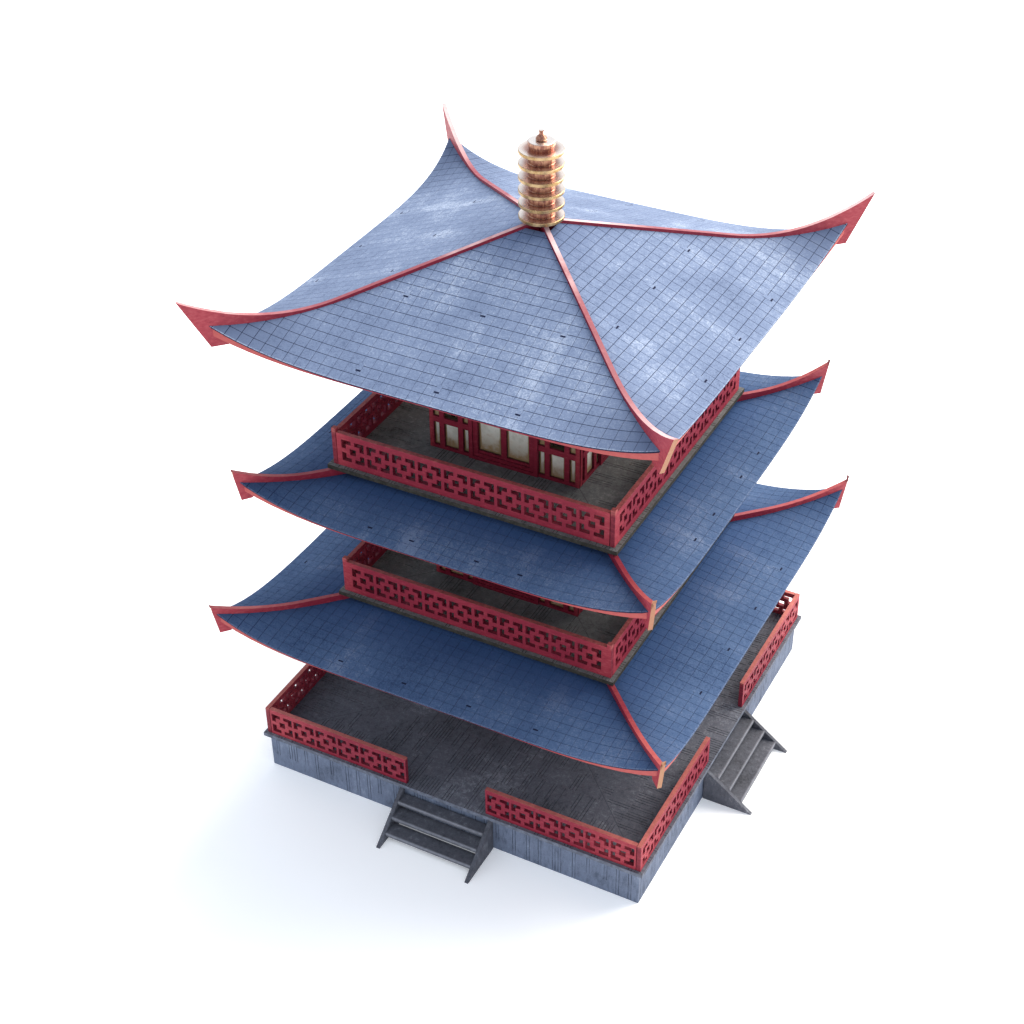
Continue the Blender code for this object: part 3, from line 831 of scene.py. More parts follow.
# %% [markdown]
# ## Ribs and eave boards
# A hip rib is a board on edge whose top line sweeps up to a point. Under each eave runs a thin bent board. Both are
# strips: a plane gives the first cell, and its far edge is extruded station by station, with the lower point moved
# to its own height. A curve with a bevel would round the edges and lose the flat sides of cut board.


# %% Draw a strip through stations
def strip(name, stations):
    """A strip of quads through pairs of points (upper, lower)."""
    sheet = add_sheet(name, 0.0, MM, 0.0, MM)
    stations = [(Vector(upper), Vector(lower)) for upper, lower in stations]
    (upper_0, lower_0), (upper_1, lower_1) = stations[:2]
    corners = {(0, 0): lower_0, (1, 0): lower_1, (0, 1): upper_0, (1, 1): upper_1}
    for vert in sheet.data.vertices:
        vert.co = corners[round(vert.co.x / MM), round(vert.co.y / MM)]
    near = 0.001 * MM
    with editing(sheet, "VERT"):
        for (upper, lower), (next_upper, next_lower) in zip(stations[1:], stations[2:]):
            pick(sheet, lambda at: (at - upper).length < near or (at - lower).length < near, "verts")
            bpy.ops.mesh.extrude_region_move(TRANSFORM_OT_translate={"value": next_upper - upper})
            drawn = lower + next_upper - upper
            pick(sheet, lambda at: (at - drawn).length < near, "verts")
            bpy.ops.transform.translate(value=next_lower - drawn)
        bpy.ops.mesh.select_all(action="SELECT")
        bpy.ops.mesh.remove_doubles(threshold=near)
    return sheet


def rib_stations(roof):
    """Pairs (upper, lower) from the inner end of a rib out to its tip, in side view along the diagonal."""
    heel = roof.toe_rear[0] - 1.2 * MM
    heel_height = roof.hip(heel) - CARD - roof.fascia_corner_depth
    steps = 16
    start = [roof.rib_inner, roof.rib_flat]
    sweep = [roof.rib_knee + (heel - roof.rib_knee) * i / steps for i in range(steps)]
    places = [(d, roof.rib_top(d) - roof.rib_depth) for d in start + sweep]
    places = [(d, roof.rib_top(d), low) for d, low in places]
    places.append((heel, roof.rib_top(heel), heel_height))
    places.append((roof.toe_rear[0], roof.rib_top(roof.toe_rear[0]), roof.toe_rear[1]))
    places.append((roof.toe_front[0], roof.rib_top(roof.toe_front[0]), roof.toe_front[1]))
    front = roof.toe_front[0]
    for share in (0.35, 0.7, 0.93):
        d = front + (roof.tip[0] - front) * share
        low = roof.toe_front[1] + (roof.tip[1] - roof.toe_front[1]) * share
        places.append((d, roof.rib_top(d), low))
    places.append((roof.tip[0], roof.tip[1], roof.tip[1] - 0.05 * MM))
    root = math.sqrt(2.0)
    return [((d * root, 0.0, top), (d * root, 0.0, low)) for d, top, low in places]


def eave_stations(roof):
    """Pairs (upper, lower) along the eave board, from hip to hip."""
    inset, steps, pairs = 1.3 * MM, 28, []
    for i in range(steps + 1):
        u = -1.0 + 2.0 * i / steps
        s = roof.eave_mid + (roof.eave_tip - roof.eave_mid) * abs(u) ** roof.eave_power - inset
        x = u * (s - 0.9 * MM)
        share = abs(u) ** roof.lift_power
        def top_at(s):
            return roof.middle(s) + (roof.hip(s) - roof.middle(s)) * share
        top = min(top_at(s), top_at(s - BOARD)) - 0.85 * MM
        depth = roof.fascia_depth + (roof.fascia_corner_depth - roof.fascia_depth) * abs(u) ** 3
        pairs.append(((x, -s, top), (x, -s, top - depth)))
    return pairs


# %% Build and copy ribs and eave boards
CORNERS = ("front_right", "back_right", "back_left", "front_left")
for roof in (low_roof, middle_roof, top_roof):
    rib = strip(f"{roof.name}_rib", rib_stations(roof))
    thicken(rib, BOARD, offset=0.0)
    with editing(rib):
        bpy.ops.mesh.select_all(action="SELECT")
        bpy.ops.mesh.normals_make_consistent(inside=False)
    ease_edges(rib, 0.12 * MM)
    rib.rotation_euler.z = -math.pi / 4
    apply_place(rib)
    paint = rib_red if roof is top_roof else lower_rib_red
    for turns, corner in enumerate(CORNERS):
        made = copy_of(rib, f"{roof.name}_{corner}_rib", turns)
        set_in_place(made, paint, [f"{roof.name}_frame"])
    board = strip(f"{roof.name}_eave_board", eave_stations(roof))
    if sum(face.normal.y for face in board.data.polygons) > 0:
        board.data.flip_normals()
    thicken(board, BOARD)
    for side in SIDES:
        made = copy_to_side(board, f"{roof.name}_{side}_eave_board", side)
        set_in_place(made, eave_red, [f"{roof.name}_frame"])
    print(roof.name, "rib:", count_triangles(rib), "eave board:", count_triangles(board))
    for spare in (rib, board):
        bpy.data.objects.remove(spare, do_unlink=True)

# %% [markdown]
# ## Deck, balconies and plinth walls
# These boards are engraved with planks: fine pairs of lines, broken into courses 11 mm long. On the deck and the
# balconies the planks run out from the walls and meet in a mitre at each corner. A quarter is engraved flat and
# copied round. The line's middle is pressed in, so it is a real groove and catches the light.


# %% Engrave lines in a flat sheet
LINE_HALF, LINE_DEPTH, LINE_END = 0.17 * MM, 0.14 * MM, 0.25 * MM


def engrave(sheet, courses, mirrored=False):
    """courses: (bottom, top, places across) for each band of lines. Mirrored cuts let mitred quarters meet."""
    rows = {edge for bottom, top, _ in courses for edge in (bottom, top)}
    rows |= {edge for bottom, top, _ in courses for edge in (bottom + LINE_END, top - LINE_END)}
    places = {place for _, _, lines in courses for place in lines}
    if mirrored:
        places |= {-place for place in places}
    steps = (-LINE_HALF, 0.0, LINE_HALF)
    cut_lines(sheet, [place + step for place in sorted(places) for step in steps], sorted(rows))
    pressed = [(bottom + 0.5 * LINE_END, top - 0.5 * LINE_END, set(lines)) for bottom, top, lines in courses]
    tolerance = 0.002 * MM

    def on_line(at):
        for low, high, lines in pressed:
            if low < at.y < high:
                return any(abs(at.x - line) < tolerance for line in lines)
        return False

    with editing(sheet, "VERT"):
        pick(sheet, on_line, "verts")
        bpy.ops.transform.translate(value=(0.0, 0.0, -LINE_DEPTH))
    store_mark(sheet, "groove", lambda at: 1.0 if at.z < -LINE_DEPTH / 2 else 0.0)


def plank_lines(dice, reach, share):
    """Places of lines on a 1.5 mm ruling: runs of two or three, then a gap."""
    pitch, lines, k = 1.5 * MM, [], -int(reach / (1.5 * MM))
    while k * pitch < reach:
        run = dice.choice((1, 2, 2, 3))
        if dice.random() < share:
            lines += [(k + i) * pitch for i in range(run) if (k + i) * pitch < reach]
        k += run + dice.choice((0, 1, 2))
    return lines


def planked_plate(name, half, inner, top, seed, share):
    """A square plate: four engraved quarters with mitres between, and a plain middle under the walls."""
    dice = random.Random(seed)
    quarter = add_sheet(name, -half, half, -half, -inner)
    course, courses, bottom = 11.0 * MM, [], -half
    while bottom < -inner - 2.0 * MM:
        upper = min(bottom + course, -inner)
        courses.append((bottom, upper, plank_lines(dice, abs(bottom) - 1.5 * MM, share)))
        bottom = upper
    engrave(quarter, courses, mirrored=True)
    for way in (-1, 1):
        cut_away(quarter, (0.0, 0.0, 0.0), (way, 1.0, 0.0), near=0.001 * MM)
    with editing(quarter, "VERT"):
        pick(quarter, lambda at: abs(abs(at.x) - abs(at.y)) < 0.01 * MM, "verts")
        bpy.ops.transform.resize(value=(1.0, 1.0, 0.0), center_override=(0.0, 0.0, 0.0))
    store_mark(quarter, "groove", lambda at: 1.0 if at.z < -LINE_DEPTH / 2 else 0.0)
    plate = join([quarter] + [copy_of(quarter, f"{name}_{turns}", turns) for turns in (1, 2, 3)])
    near = 0.01 * MM
    with editing(plate, "EDGE"):
        bpy.ops.mesh.select_all(action="SELECT")
        bpy.ops.mesh.remove_doubles(threshold=near)
        pick(plate, lambda at: max(abs(at.x), abs(at.y)) < inner + near, "edges")
        bpy.ops.mesh.edge_face_add()
        pick(plate, lambda at: max(abs(at.x), abs(at.y)) > half - near, "edges")
        bpy.ops.mesh.extrude_region_move(TRANSFORM_OT_translate={"value": (0.0, 0.0, -BOARD)})
        bpy.ops.mesh.edge_face_add()
        bpy.ops.mesh.select_all(action="SELECT")
        bpy.ops.transform.translate(value=(0.0, 0.0, top))
    return plate

# %% [markdown]
# ## Charcoal and stone greys
# The decks are a warm charcoal, dry-brushed along the planks with light grey and paler towards the edges. The plinth
# walls are a bluer grey with a dark wash in the lines. The edge of each plate shows the board itself, toned brown.


# %% Mix the greys
def board_paint(name, dark, base, pale, edge):
    """Grey paint on a plate: clouds, a dry brush, a wash in the lines and along the mitres."""
    pot = Pot(name, specular=0.2)
    at = pot.place()
    clouds = pot.noise(at, 36.0, 4.0, 0.6)
    brush = pot.noise(at, 420.0, 4.0, 0.7)
    grain = pot.noise(at, 1500.0, 3.0, 0.7)
    tone = (clouds - 0.5) * 0.9 + (brush - 0.5) * 0.8 + (grain - 0.5) * 0.7
    paint = pot.blend(tone.between(-0.4, 0.05), dark, base)
    paint = pot.blend(tone.between(0.02, 0.45), paint, pale)
    groove = pot.attribute("groove").between(0.05, 0.6)
    broken = pot.noise(at, 140.0, 2.0).between(0.32, 0.62)
    paint = pot.blend(groove * (0.5 + broken * 0.5), paint, tuple(c * 0.10 for c in dark))
    diagonal = (pot.axis(at, "X").size() - pot.axis(at, "Y").size()).size()
    paint = pot.blend(diagonal.between(0.35 * MM, 0.1 * MM) * 0.7, paint, dark)
    side_on = pot.facing_up().size().between(0.7, 0.3)
    paint = pot.blend(side_on, paint, pot.blend(brush.between(0.35, 0.75), tuple(c * 0.5 for c in edge), edge))
    pot.bump(grain * 0.5 + brush, 0.35, 0.00012)
    return pot.finish(Base_Color=paint, Roughness=0.88 - brush * 0.2)


deck_grey = board_paint(
    "deck_charcoal", (0.045, 0.049, 0.062), (0.118, 0.122, 0.150), (0.27, 0.28, 0.32), (0.20, 0.22, 0.28)
)
balcony_grey = board_paint(
    "balcony_charcoal", (0.048, 0.050, 0.050), (0.135, 0.140, 0.140), (0.28, 0.28, 0.27), (0.062, 0.056, 0.045)
)
print("greys:", deck_grey.name, balcony_grey.name)

# %% The deck and the two balcony plates
WALL_FACE = 36.8 * MM
deck = planked_plate("plinth_deck_planks", 100.0 * MM, WALL_FACE, DECK_TOP, 11, 0.62)
set_in_place(deck, deck_grey, ["plinth_deck"])
plate = planked_plate("balcony_1_planks", 69.9 * MM, WALL_FACE, BALCONY_TOPS[0], 23, 0.62)
upper = copy_of(plate, "balcony_2_planks")
upper.location.z = BALCONY_TOPS[1] - BALCONY_TOPS[0]
apply_place(upper)
set_in_place(plate, balcony_grey, ["balcony_1_plate"])
set_in_place(upper, balcony_grey, ["balcony_2_plate"])
print("deck:", count_triangles(deck), "balcony:", count_triangles(plate), "triangles")

# %% The four plinth walls
PLINTH_HALF = 97.7 * MM
PLINTH_TOP = DECK_TOP - BOARD


def upright_paint(name, dark, base, pale):
    """Grey for upright boards: the dry brush runs down them, and marked edges that look up are paler, dry-brushed and
    given a painted highlight.
    """
    pot = Pot(name, specular=0.25)
    at = pot.place()
    clouds = pot.noise(at, 45.0, 4.0, 0.6)
    brush = pot.noise(pot.stretched(at, (1.0, 1.0, 0.35)), 480.0, 4.0, 0.7)
    grain = pot.noise(at, 1700.0, 2.0, 0.6)
    tone = (clouds - 0.5) * 0.9 + (brush - 0.5) * 0.8 + (grain - 0.5) * 0.4
    paint = pot.blend(tone.between(-0.4, 0.05), dark, base)
    paint = pot.blend(tone.between(0.02, 0.45), paint, pale)
    groove = pot.attribute("groove").between(0.05, 0.6)
    broken = pot.noise(pot.stretched(at, (1.0, 1.0, 0.5)), 170.0, 2.0).between(0.35, 0.6)
    paint = pot.blend(groove * (0.3 + broken * 0.7), paint, tuple(c * 0.2 for c in dark))
    # Dry brush and painted highlight on the marked top edges.
    rubbed = pot.attribute("rubbed")
    paint = pot.blend(rubbed * (0.35 + brush), paint, pale)
    pot.bump(grain * 0.5 + brush, 0.35, 0.00012)
    return pot.finish(Base_Color=paint, Roughness=0.85 - brush * 0.2)


plinth_grey = upright_paint("plinth_grey", (0.060, 0.074, 0.110), (0.150, 0.180, 0.255), (0.33, 0.375, 0.47))
for first, second, half, seed in (
    ("front", "back", PLINTH_HALF, 5), ("right", "left", PLINTH_HALF - BOARD - RAIL_GAP, 8)
):
    dice = random.Random(seed)
    wall = add_sheet("plinth_wall", -half, half, 0.0, PLINTH_TOP)
    x, whole, short = -half + 3.0 * MM, [], []
    while x < half - 4.0 * MM:
        pair = [x, x + 1.4 * MM]
        whole += pair
        if dice.random() < 0.6:
            short += pair
        x += dice.choice((2.9, 6.0, 7.2, 8.6)) * MM
    engrave(wall, [(0.3 * MM, 7.0 * MM, short), (7.0 * MM, PLINTH_TOP, whole)])
    stand_up(wall, -PLINTH_HALF)
    thicken(wall, BOARD)
    for side in (first, second):
        made = copy_to_side(wall, f"plinth_{side}_boards", side)
        set_in_place(made, plinth_grey, [f"plinth_{side}_wall"])
    bpy.data.objects.remove(wall, do_unlink=True)
print("a plinth wall has", count_triangles(made), "triangles")

# %% [markdown]
# ## The stairs
# Each flight is two cut cheeks with three treads glued between them. A cheek is a rectangle with its corner cut off,
# and the front edge of each tread meets that cut. The treads are boxes with eased edges; the front edges are
# dry-brushed pale and given a painted highlight.

# %% Cut the cheeks and the treads
STAIR_HALF = 24.4 * MM
STAIR_RUN, STAIR_HEAD, HEAD_DEPTH, TOE_HEIGHT = 25.0 * MM, 19.0 * MM, 1.8 * MM, 0.8 * MM
TREADS = ((14.6, 7.0, 6.4), (9.8, 13.0, 8.0), (5.0, 19.1, 8.0))
stair_grey = upright_paint("stair_grey", (0.032, 0.033, 0.041), (0.085, 0.088, 0.108), (0.26, 0.265, 0.30))


def stair_cheek(left):
    """Cut in side view, where x runs out from the wall, then stood up beside the treads."""
    cheek = add_sheet("cheek", RAIL_GAP, STAIR_RUN, 0.0, STAIR_HEAD)
    slope = Vector((STAIR_RUN - HEAD_DEPTH, TOE_HEIGHT - STAIR_HEAD, 0.0))
    with editing(cheek):
        bpy.ops.mesh.select_all(action="SELECT")
        bpy.ops.mesh.bisect(
            plane_co=(HEAD_DEPTH, STAIR_HEAD, 0.0), plane_no=(-slope.y, slope.x, 0.0), clear_outer=True
        )
    # The cheek's edges are marked for dry brush and painted highlight.
    store_mark(cheek, "rubbed", lambda at: 1.0 if at.y > TOE_HEIGHT / 2 and at.x > HEAD_DEPTH / 2 else 0.0)
    thicken(cheek, BOARD)
    cheek.matrix_world = Matrix(
        ((0, 0, 1, left + BOARD), (-1, 0, 0, -PLINTH_HALF), (0, 1, 0, 0), (0, 0, 0, 1))
    )
    apply_place(cheek)
    ease_edges(cheek, 0.15 * MM)
    return cheek


def stair_tread(top, nose, depth):
    clear_selection()
    bpy.ops.mesh.primitive_cube_add(size=1.0, location=(0.0, -PLINTH_HALF - nose + depth / 2, top - BOARD / 2))
    tread = bpy.context.object
    tread.scale = (2 * (STAIR_HALF - BOARD), depth, BOARD)
    bpy.ops.object.transform_apply(location=True, rotation=True, scale=True)
    with editing(tread):
        bpy.ops.mesh.select_all(action="SELECT")
        bpy.ops.mesh.bisect(plane_co=(0.0, -PLINTH_HALF - nose + 0.9 * MM, 0.0), plane_no=(0.0, 1.0, 0.0))
    front = -PLINTH_HALF - nose + 0.1 * MM
    # The tread's front edge is marked for dry brush and painted highlight.
    store_mark(tread, "rubbed", lambda at: 1.0 if at.y < front and at.z > top - BOARD / 2 else 0.0)
    ease_edges(tread, 0.15 * MM)
    return tread


parts = [stair_cheek(-STAIR_HALF), stair_cheek(STAIR_HALF - BOARD)]
parts += [stair_tread(top * MM, nose * MM, depth * MM) for top, nose, depth in TREADS]
for part in parts:
    face_outward(part)
flight = join(parts)
for side in SIDES:
    made = copy_to_side(flight, f"{side}_stair_flight", side)
    set_in_place(made, stair_grey, [f"{side}_stairs"])
print("a flight of stairs has", count_triangles(flight), "triangles")
bpy.data.objects.remove(flight, do_unlink=True)

# %% [markdown]
# ## Walls, windows and doors
# Each wall is two boards: a cream one, and in front of it a red frame of posts and rails whose gaps show the cream
# as panels. The windows go through both. The double door has its own stepped frame and set-back leaves. All of it
# is ruled lines and deleted cells once more, one board at a time.

# %% [markdown]
# The cream boards are off-white, with brown wash brushed in along the posts and rails, heaviest at the foot. The
# wash is drawn as the distance to the nearest edge of a panel, which the wall stores at its corners.


# %% Mix the cream
def cream_paint():
    pot = Pot("cream_panels", roughness=0.8, specular=0.25)
    at = pot.place()
    clouds = pot.noise(at, 260.0, 3.0, 0.6)
    fine = pot.noise(at, 1300.0, 3.0, 0.6)
    rim = pot.attribute("rim")
    foot = pot.attribute("foot")
    cream = pot.blend(clouds.between(0.3, 0.7), (0.60, 0.57, 0.48), (0.80, 0.78, 0.69))
    stain = (rim * 0.8 + foot * 0.45 + clouds * 0.7 - 0.35).between(0.12, 0.55)
    paint = pot.blend(stain * 0.9, cream, (0.30, 0.17, 0.055))
    edge = (rim + clouds * 0.5 - 0.25).between(0.42, 0.80)
    paint = pot.blend(edge * 0.9, paint, (0.055, 0.042, 0.018))
    pot.bump(fine * 0.5 + clouds, 0.3, 0.0001)
    return pot.finish(Base_Color=paint)


cream = cream_paint()

# %% Rule one wall
FLOORS = (DECK_TOP, BALCONY_TOPS[0], BALCONY_TOPS[1])
HEADS = (96.2 * MM, 167.4 * MM, 256.0 * MM)
DOOR_HALF = 17.0
POSTS = (20.0, 22.4, 29.4, 31.8, 34.7)
FOOT_RAIL, LOW_PANEL, MIDDLE_RAIL, WINDOW_TOP, HEAD_RAIL, FRIEZE = 1.6, 13.6, 16.5, 41.0, 44.0, 46.5
TOP_RAIL = 3.0
FRAME_DEPTH = 1.0 * MM
POST = 2.1 * MM
SHOULDER = 250.0 * MM


def bay_of(x):
    """The kind of bay at a place across the wall, in mm."""
    x = abs(x)
    if x < DOOR_HALF:
        return "door"
    if x < 20.0 or 31.8 < x < 34.7:
        return "narrow"
    if 22.4 < x < 29.4:
        return "wide"
    return "post"


def is_gap(x, y, rise):
    """True where the red frame is cut away, x across and y up from the floor in mm."""
    bay = bay_of(x)
    frieze = FRIEZE < y < rise - TOP_RAIL
    if bay == "door":
        return y < HEAD_RAIL or frieze
    if bay == "post":
        return False
    return FOOT_RAIL < y < LOW_PANEL or MIDDLE_RAIL < y < WINDOW_TOP or frieze


def is_hole(x, y):
    """True where the cream board is cut through: windows and the doorway."""
    return bay_of(x) == "wide" and MIDDLE_RAIL < y < WINDOW_TOP or bay_of(x) == "door" and y < HEAD_RAIL


def wall_sheet(name, half, floor, head):
    sheet = add_sheet(name, -half, half, floor, head)
    across = [way * x * MM for x in (DOOR_HALF, *POSTS) for way in (-1, 1) if x * MM < half - 0.1 * MM]
    rise = (head - floor) / MM
    up = [floor + y * MM for y in (FOOT_RAIL, LOW_PANEL, MIDDLE_RAIL, WINDOW_TOP, HEAD_RAIL, FRIEZE, rise - TOP_RAIL)]
    cut_lines(sheet, across, up)
    return sheet


def brush_rims(board, is_panel, width):
    """Insets each panel and stores 1 on its rim, and 1 along its foot, for the brown wash."""
    with editing(board):
        pick(board, is_panel)
        bpy.ops.mesh.inset(thickness=width, depth=0.0, use_individual=True, use_even_offset=True)
    inside = {index for face in board.data.polygons if face.select for index in face.vertices}
    low = {}
    for face in board.data.polygons:
        if face.select:
            foot = min(board.data.vertices[i].co.y for i in face.vertices)
            low.update({i: board.data.vertices[i].co.y < foot + 0.1 * MM for i in face.vertices})
    rim = board.data.attributes.new("rim", "FLOAT", "POINT")
    foot = board.data.attributes.new("foot", "FLOAT", "POINT")
    for vert in board.data.vertices:
        rim.data[vert.index].value = 0.0 if vert.index in inside else 1.0
        foot.data[vert.index].value = 1.0 if low.get(vert.index, True) else 0.0


def build_wall(number, half):
    floor, head = FLOORS[number - 1], HEADS[number - 1]
    rise = (head - floor) / MM
    red = wall_sheet("posts_and_rails", half, floor, head)
    board = wall_sheet("cream_board", half - (POST if half == WALL_FACE else 0.2 * MM), floor, head)
    if number == 3:
        for sheet in (red, board):
            cut_lines(sheet, up=[SHOULDER])
            cut_out(sheet, lambda at: abs(at.x) > 31.8 * MM and at.y > SHOULDER)
    cut_out(red, lambda at: is_gap(at.x / MM, (at.y - floor) / MM, rise))
    mark_wash_and_shade(red, 0.28 * MM)
    cut_out(board, lambda at: is_hole(at.x / MM, (at.y - floor) / MM))
    brush_rims(board, lambda at: is_gap(at.x / MM, (at.y - floor) / MM, rise) and abs(at.x) > DOOR_HALF * MM, 0.95 * MM)
    for sheet, face, depth in ((red, -WALL_FACE, FRAME_DEPTH), (board, -WALL_FACE + FRAME_DEPTH, BOARD)):
        stand_up(sheet, face)
        thicken(sheet, depth)
    if half < WALL_FACE:
        return red, board
    posts = [red]
    for way in (-1, 1):
        clear_selection()
        top = SHOULDER if number == 3 else head
        bpy.ops.mesh.primitive_cube_add(size=1.0, location=(
            way * (half - POST / 2), -WALL_FACE + 1.5 * MM + 0.02 * MM, (floor + top) / 2
        ))
        post = bpy.context.object
        post.scale = (POST, 3.0 * MM, top - floor)
        apply_place(post)
        ease_edges(post, 0.25 * MM)
        posts.append(post)
    return join(posts), board

# %% Build the walls of the three storeys
for number in (1, 2, 3):
    for first, second, half in (("front", "back", WALL_FACE), ("right", "left", WALL_FACE - 3.0 * MM - RAIL_GAP)):
        red, board = build_wall(number, half)
        for side in (first, second):
            node = f"storey_{number}_{side}_wall"
            posts = copy_to_side(red, f"storey_{number}_{side}_frame", side)
            panels = copy_to_side(board, f"storey_{number}_{side}_panels", side)
            set_in_place(posts, wall_red, [node])
            set_in_place(panels, cream, [node])
        for spare in (red, board):
            bpy.data.objects.remove(spare, do_unlink=True)
print("a wall's red frame has", count_triangles(posts), "triangles")

# %% [markdown]
# A door frame steps in twice towards the leaves: an outer and an inner ring, each a sheet with its middle deleted.
# Behind them the pair of leaves is one board with two panels, and the cream shows through the panels.


# %% Build the doors
def ring(name, half, inner, floor, top, inner_top, sill, depth, face_y):
    """An upright frame with its middle cut out. Lengths across and up in mm."""
    made = add_sheet(name, -half * MM, half * MM, floor, floor + top * MM)
    cut_lines(made, (-inner * MM, inner * MM), (floor + sill * MM, floor + inner_top * MM))
    low, high = floor + sill * MM, floor + inner_top * MM
    cut_out(made, lambda at: abs(at.x) < inner * MM and low < at.y < high)
    mark_wash_and_shade(made, 0.3 * MM)
    stand_up(made, face_y)
    thicken(made, depth)
    return made


STILE, LEAF_HALF = 1.3, 12.5
LEAF_RAILS = (4.6, 20.8, 23.2, 41.5)


def is_leaf_panel(at, floor):
    x, y = abs(at.x) / MM, (at.y - floor) / MM
    foot, rail, over_rail, head = LEAF_RAILS
    return STILE < x < LEAF_HALF and (foot < y < rail or over_rail < y < head)


def leaf_sheet(name, half, floor, top):
    sheet = add_sheet(name, -half * MM, half * MM, floor, floor + top * MM)
    cut_lines(sheet, [way * x * MM for x in (STILE, LEAF_HALF) for way in (-1, 1)], [floor + y * MM for y in LEAF_RAILS])
    return sheet


def build_door(floor):
    outer = ring("outer", 16.95, 14.9, floor, 48.0, 46.0, 1.7, 1.5 * MM, -WALL_FACE - 0.7 * MM)
    inner = ring("inner", 14.95, 12.6, floor + 0.1 * MM, 46.0, 43.6, 3.3, 1.4 * MM, -WALL_FACE - 0.2 * MM)
    leaves = leaf_sheet("leaves", 14.0, floor + 0.1 * MM, 44.5)
    cut_out(leaves, lambda at: is_leaf_panel(at, floor + 0.1 * MM))
    mark_wash_and_shade(leaves, 0.3 * MM)
    stand_up(leaves, -WALL_FACE + 0.4 * MM)
    thicken(leaves, 0.8 * MM)
    return join([outer, inner, leaves])


def build_door_panels(floor):
    board = leaf_sheet("door_board", 13.5, floor + 0.1 * MM, 43.9)
    brush_rims(board, lambda at: is_leaf_panel(at, floor + 0.1 * MM), 1.25 * MM)
    stand_up(board, -WALL_FACE + 1.1 * MM)
    thicken(board, 0.8 * MM)
    return board


for number, floor in enumerate(FLOORS, start=1):
    door, panels = build_door(floor), build_door_panels(floor)
    for side in SIDES:
        node = f"storey_1_{side}_door" if number == 1 else f"storey_{number}_{side}_wall"
        made = copy_to_side(door, f"storey_{number}_{side}_double_door", side)
        set_in_place(made, wall_red, [node])
        made = copy_to_side(panels, f"storey_{number}_{side}_door_panels", side)
        set_in_place(made, cream, [node])
    for spare in (door, panels):
        bpy.data.objects.remove(spare, do_unlink=True)
print("doors on three storeys")

# %% [markdown]
# ## The finial
# The finial is turned: six discs on necks, a drum and a bud. Its half profile is drawn by extruding one point, and
# Spin carries it round the axis. It could be built from cylinders, but a spun profile has no inner faces.

# %% Draw the profile and spin it
DISC_TOPS = [304.5 - 5.88 * i for i in range(6)]
PROFILE = [(0.0, 312.5), (1.15, 312.5), (1.2, 312.2), (0.9, 311.4), (1.0, 310.6), (1.9, 309.6), (2.4, 308.8), (2.2, 308.2)]
PROFILE += [(1.6, 308.0), (5.4, 308.0), (5.7, 307.8), (5.7, 306.2), (5.4, 306.0), (5.2, 305.8), (5.2, 304.5)]
for index, disc in enumerate(DISC_TOPS):
    PROFILE += [(9.5, disc), (9.7, disc - 0.2), (9.7, disc - 1.3), (9.5, disc - 1.5)]
    if index < len(DISC_TOPS) - 1:
        PROFILE += [(6.0, disc - 1.6), (5.6, disc - 1.9), (5.6, disc - 5.5), (5.9, disc - 5.85)]
PROFILE.append((0.0, DISC_TOPS[-1] - 1.6))

finial = add_sheet("finial_turned", 0.0, MM, 0.0, MM)
with editing(finial, "VERT"):
    bpy.ops.mesh.select_all(action="SELECT")
    bpy.ops.mesh.merge(type="CENTER")
    bpy.ops.mesh.select_all(action="SELECT")
    start = bmesh.from_edit_mesh(finial.data).verts[:][0].co.copy()
    bpy.ops.transform.translate(value=Vector((PROFILE[0][0] * MM, 0.0, PROFILE[0][1] * MM)) - start)
    for (r0, z0), (r1, z1) in zip(PROFILE, PROFILE[1:]):
        bpy.ops.mesh.extrude_region_move(
            TRANSFORM_OT_translate={"value": ((r1 - r0) * MM, 0.0, (z1 - z0) * MM)}
        )
    bpy.ops.mesh.select_all(action="SELECT")
    bpy.ops.mesh.spin(steps=64, angle=2 * math.pi, center=(0.0, 0.0, 0.0), axis=(0.0, 0.0, 1.0))
    bpy.ops.mesh.select_all(action="SELECT")
    bpy.ops.mesh.remove_doubles(threshold=0.01 * MM)
    bpy.ops.mesh.normals_make_consistent(inside=False)
clear_selection()
finial.select_set(True)
bpy.context.view_layer.objects.active = finial
bpy.ops.object.shade_smooth_by_angle(angle=math.radians(32))


def gold_paint():
    """Polished gilding over red-brown: brown and streaked on necks, drum and rims; the pale disc tops and drum top are
    a painted reflection.
    """
    pot = Pot("finial_gold", metallic=1.0)
    at = pot.place()
    clouds = pot.noise(at, 300.0, 4.0, 0.6)
    brush = pot.noise(pot.stretched(at, (1.0, 1.0, 0.25)), 900.0, 4.0, 0.7)
    level = pot.stretched(at, (1.0, 1.0, 0.0))
    radius = pot.node("ShaderNodeVectorMath", {"operation": "LENGTH"}, {0: level}, output="Value")
    brown = pot.blend(brush.between(0.38, 0.66), (0.24, 0.095, 0.075), (0.50, 0.27, 0.17))
    gold = pot.blend(clouds.between(0.35, 0.65), (0.38, 0.235, 0.105), (0.58, 0.40, 0.21))
    rims = pot.blend(radius.between(8.8 * MM, 9.5 * MM), brown, gold)
    # Painted reflection: the disc tops run from maroon by the neck to near-white at the edge.
    disc_top_reflection = pot.blend(radius.between(5.9 * MM, 8.8 * MM), (0.46, 0.24, 0.19), (0.86, 0.74, 0.66))
    top = pot.facing_up().between(0.75, 0.95)
    # Painted reflection: the top of the drum is near-white.
    crown = pot.axis(at, "Z").between(307.5 * MM, 308.1 * MM)
    disc_top_reflection = pot.blend(crown, disc_top_reflection, (0.88, 0.80, 0.74))
    paint = pot.blend(top, rims, disc_top_reflection)
    pot.bump(brush, 0.25, 0.00008)
    return pot.finish(Base_Color=paint, Roughness=0.20 + clouds * 0.16)


set_in_place(finial, gold_paint(), ["finial"])
print("finial:", count_triangles(finial), "triangles")

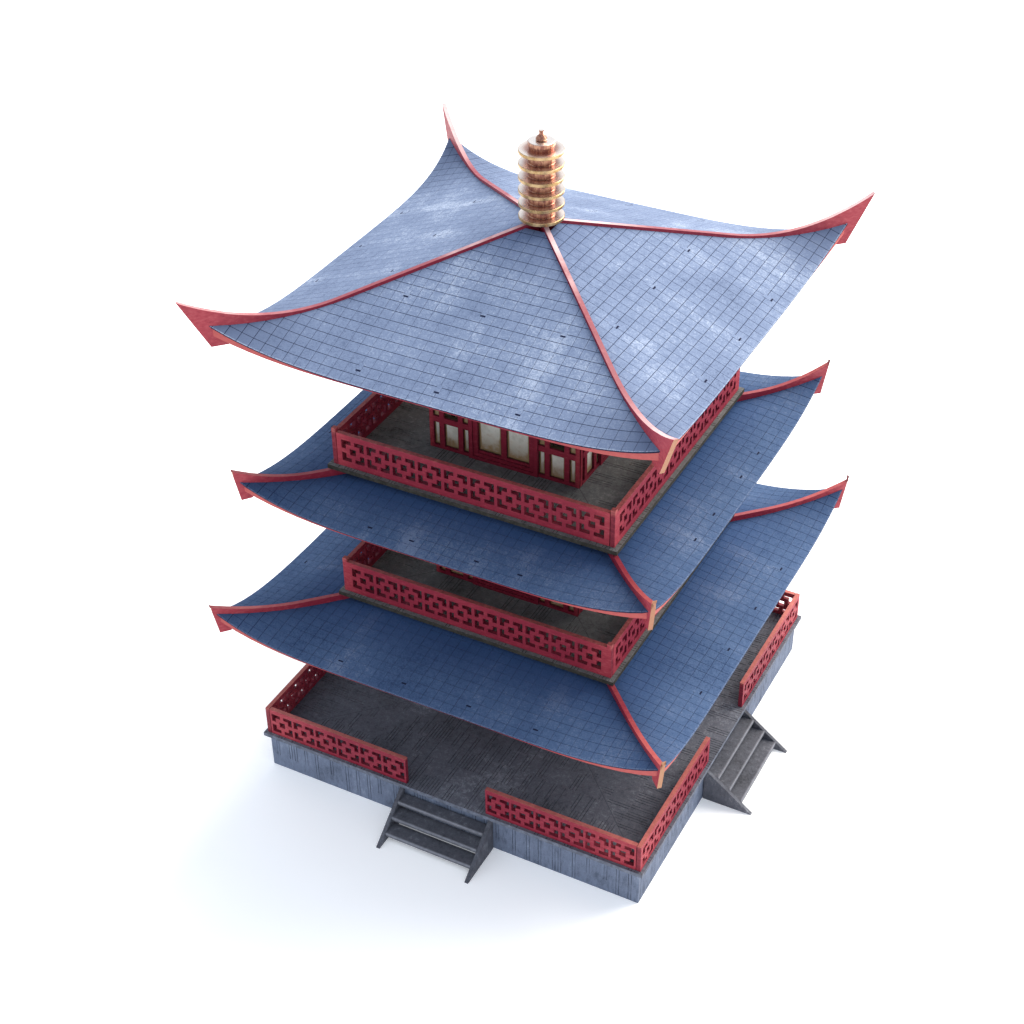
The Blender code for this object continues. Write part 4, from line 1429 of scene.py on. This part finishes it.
# %% [markdown]
# ## Floor, light and camera
# The photograph is a product picture on white. White surroundings light the model from all sides, and one large
# soft light stands high behind it and a little to the right, so the back and right roofs are the brightest. The
# floor goes to white. The camera looks down at the near corner.

# %% Floor
clear_selection()
bpy.ops.mesh.primitive_plane_add(size=8.0, location=(0.0, 0.0, 0.0))
floor = bpy.context.object
floor.name = "floor"
white = Pot("floor_white", roughness=0.9, specular=0.1)
floor_tone = white.noise(white.place(), 3.0)
white.finish(Base_Color=white.blend(floor_tone, (0.95, 0.945, 0.945), (0.965, 0.96, 0.96)))
white.finish(Emission_Color=(0.93, 0.95, 1.0), Emission_Strength=0.22)
floor.data.materials.append(white.material)

# %% Light
def soft_light(name, place, aim, size, power, colour):
    clear_selection()
    bpy.ops.object.light_add(type="AREA", location=place)
    lamp = bpy.context.object
    lamp.name = name
    lamp.data.size = size
    lamp.data.energy = power
    lamp.data.color = colour
    lamp.rotation_mode = "QUATERNION"
    lamp.rotation_quaternion = (Vector(aim) - Vector(place)).to_track_quat("-Z", "Y")
    return lamp


soft_light("key", (0.55, 1.35, 1.45), (0.0, 0.0, 0.15), 1.9, 88.0, (1.0, 0.93, 0.82))
world = bpy.context.scene.world or bpy.data.worlds.new("studio")
bpy.context.scene.world = world
world.use_nodes = True
backdrop = world.node_tree.nodes["Background"]
backdrop.inputs["Color"].default_value = (0.82, 0.90, 1.0, 1.0)
backdrop.inputs["Strength"].default_value = 1.08
bpy.context.scene.view_settings.view_transform = "Standard"

# %% Camera
clear_selection()
bpy.ops.object.camera_add(location=(0.3031, -0.5932, 0.6109))
camera = bpy.context.object
camera.name = "camera"
look_right = Vector((0.88470, 0.46601, -0.01187))
look_up = Vector((-0.26764, 0.52861, 0.80558))
look_back = Vector((0.38169, -0.70952, 0.59239))
camera.rotation_mode = "QUATERNION"
camera.rotation_quaternion = Matrix((look_right, look_up, look_back)).transposed().to_quaternion()
camera.data.sensor_width = 36.0
camera.data.lens = 62.17
camera.data.clip_start, camera.data.clip_end = 0.01, 20.0
bpy.context.scene.camera = camera
print("pieces:", total["pieces"], "triangles:", total["triangles"])
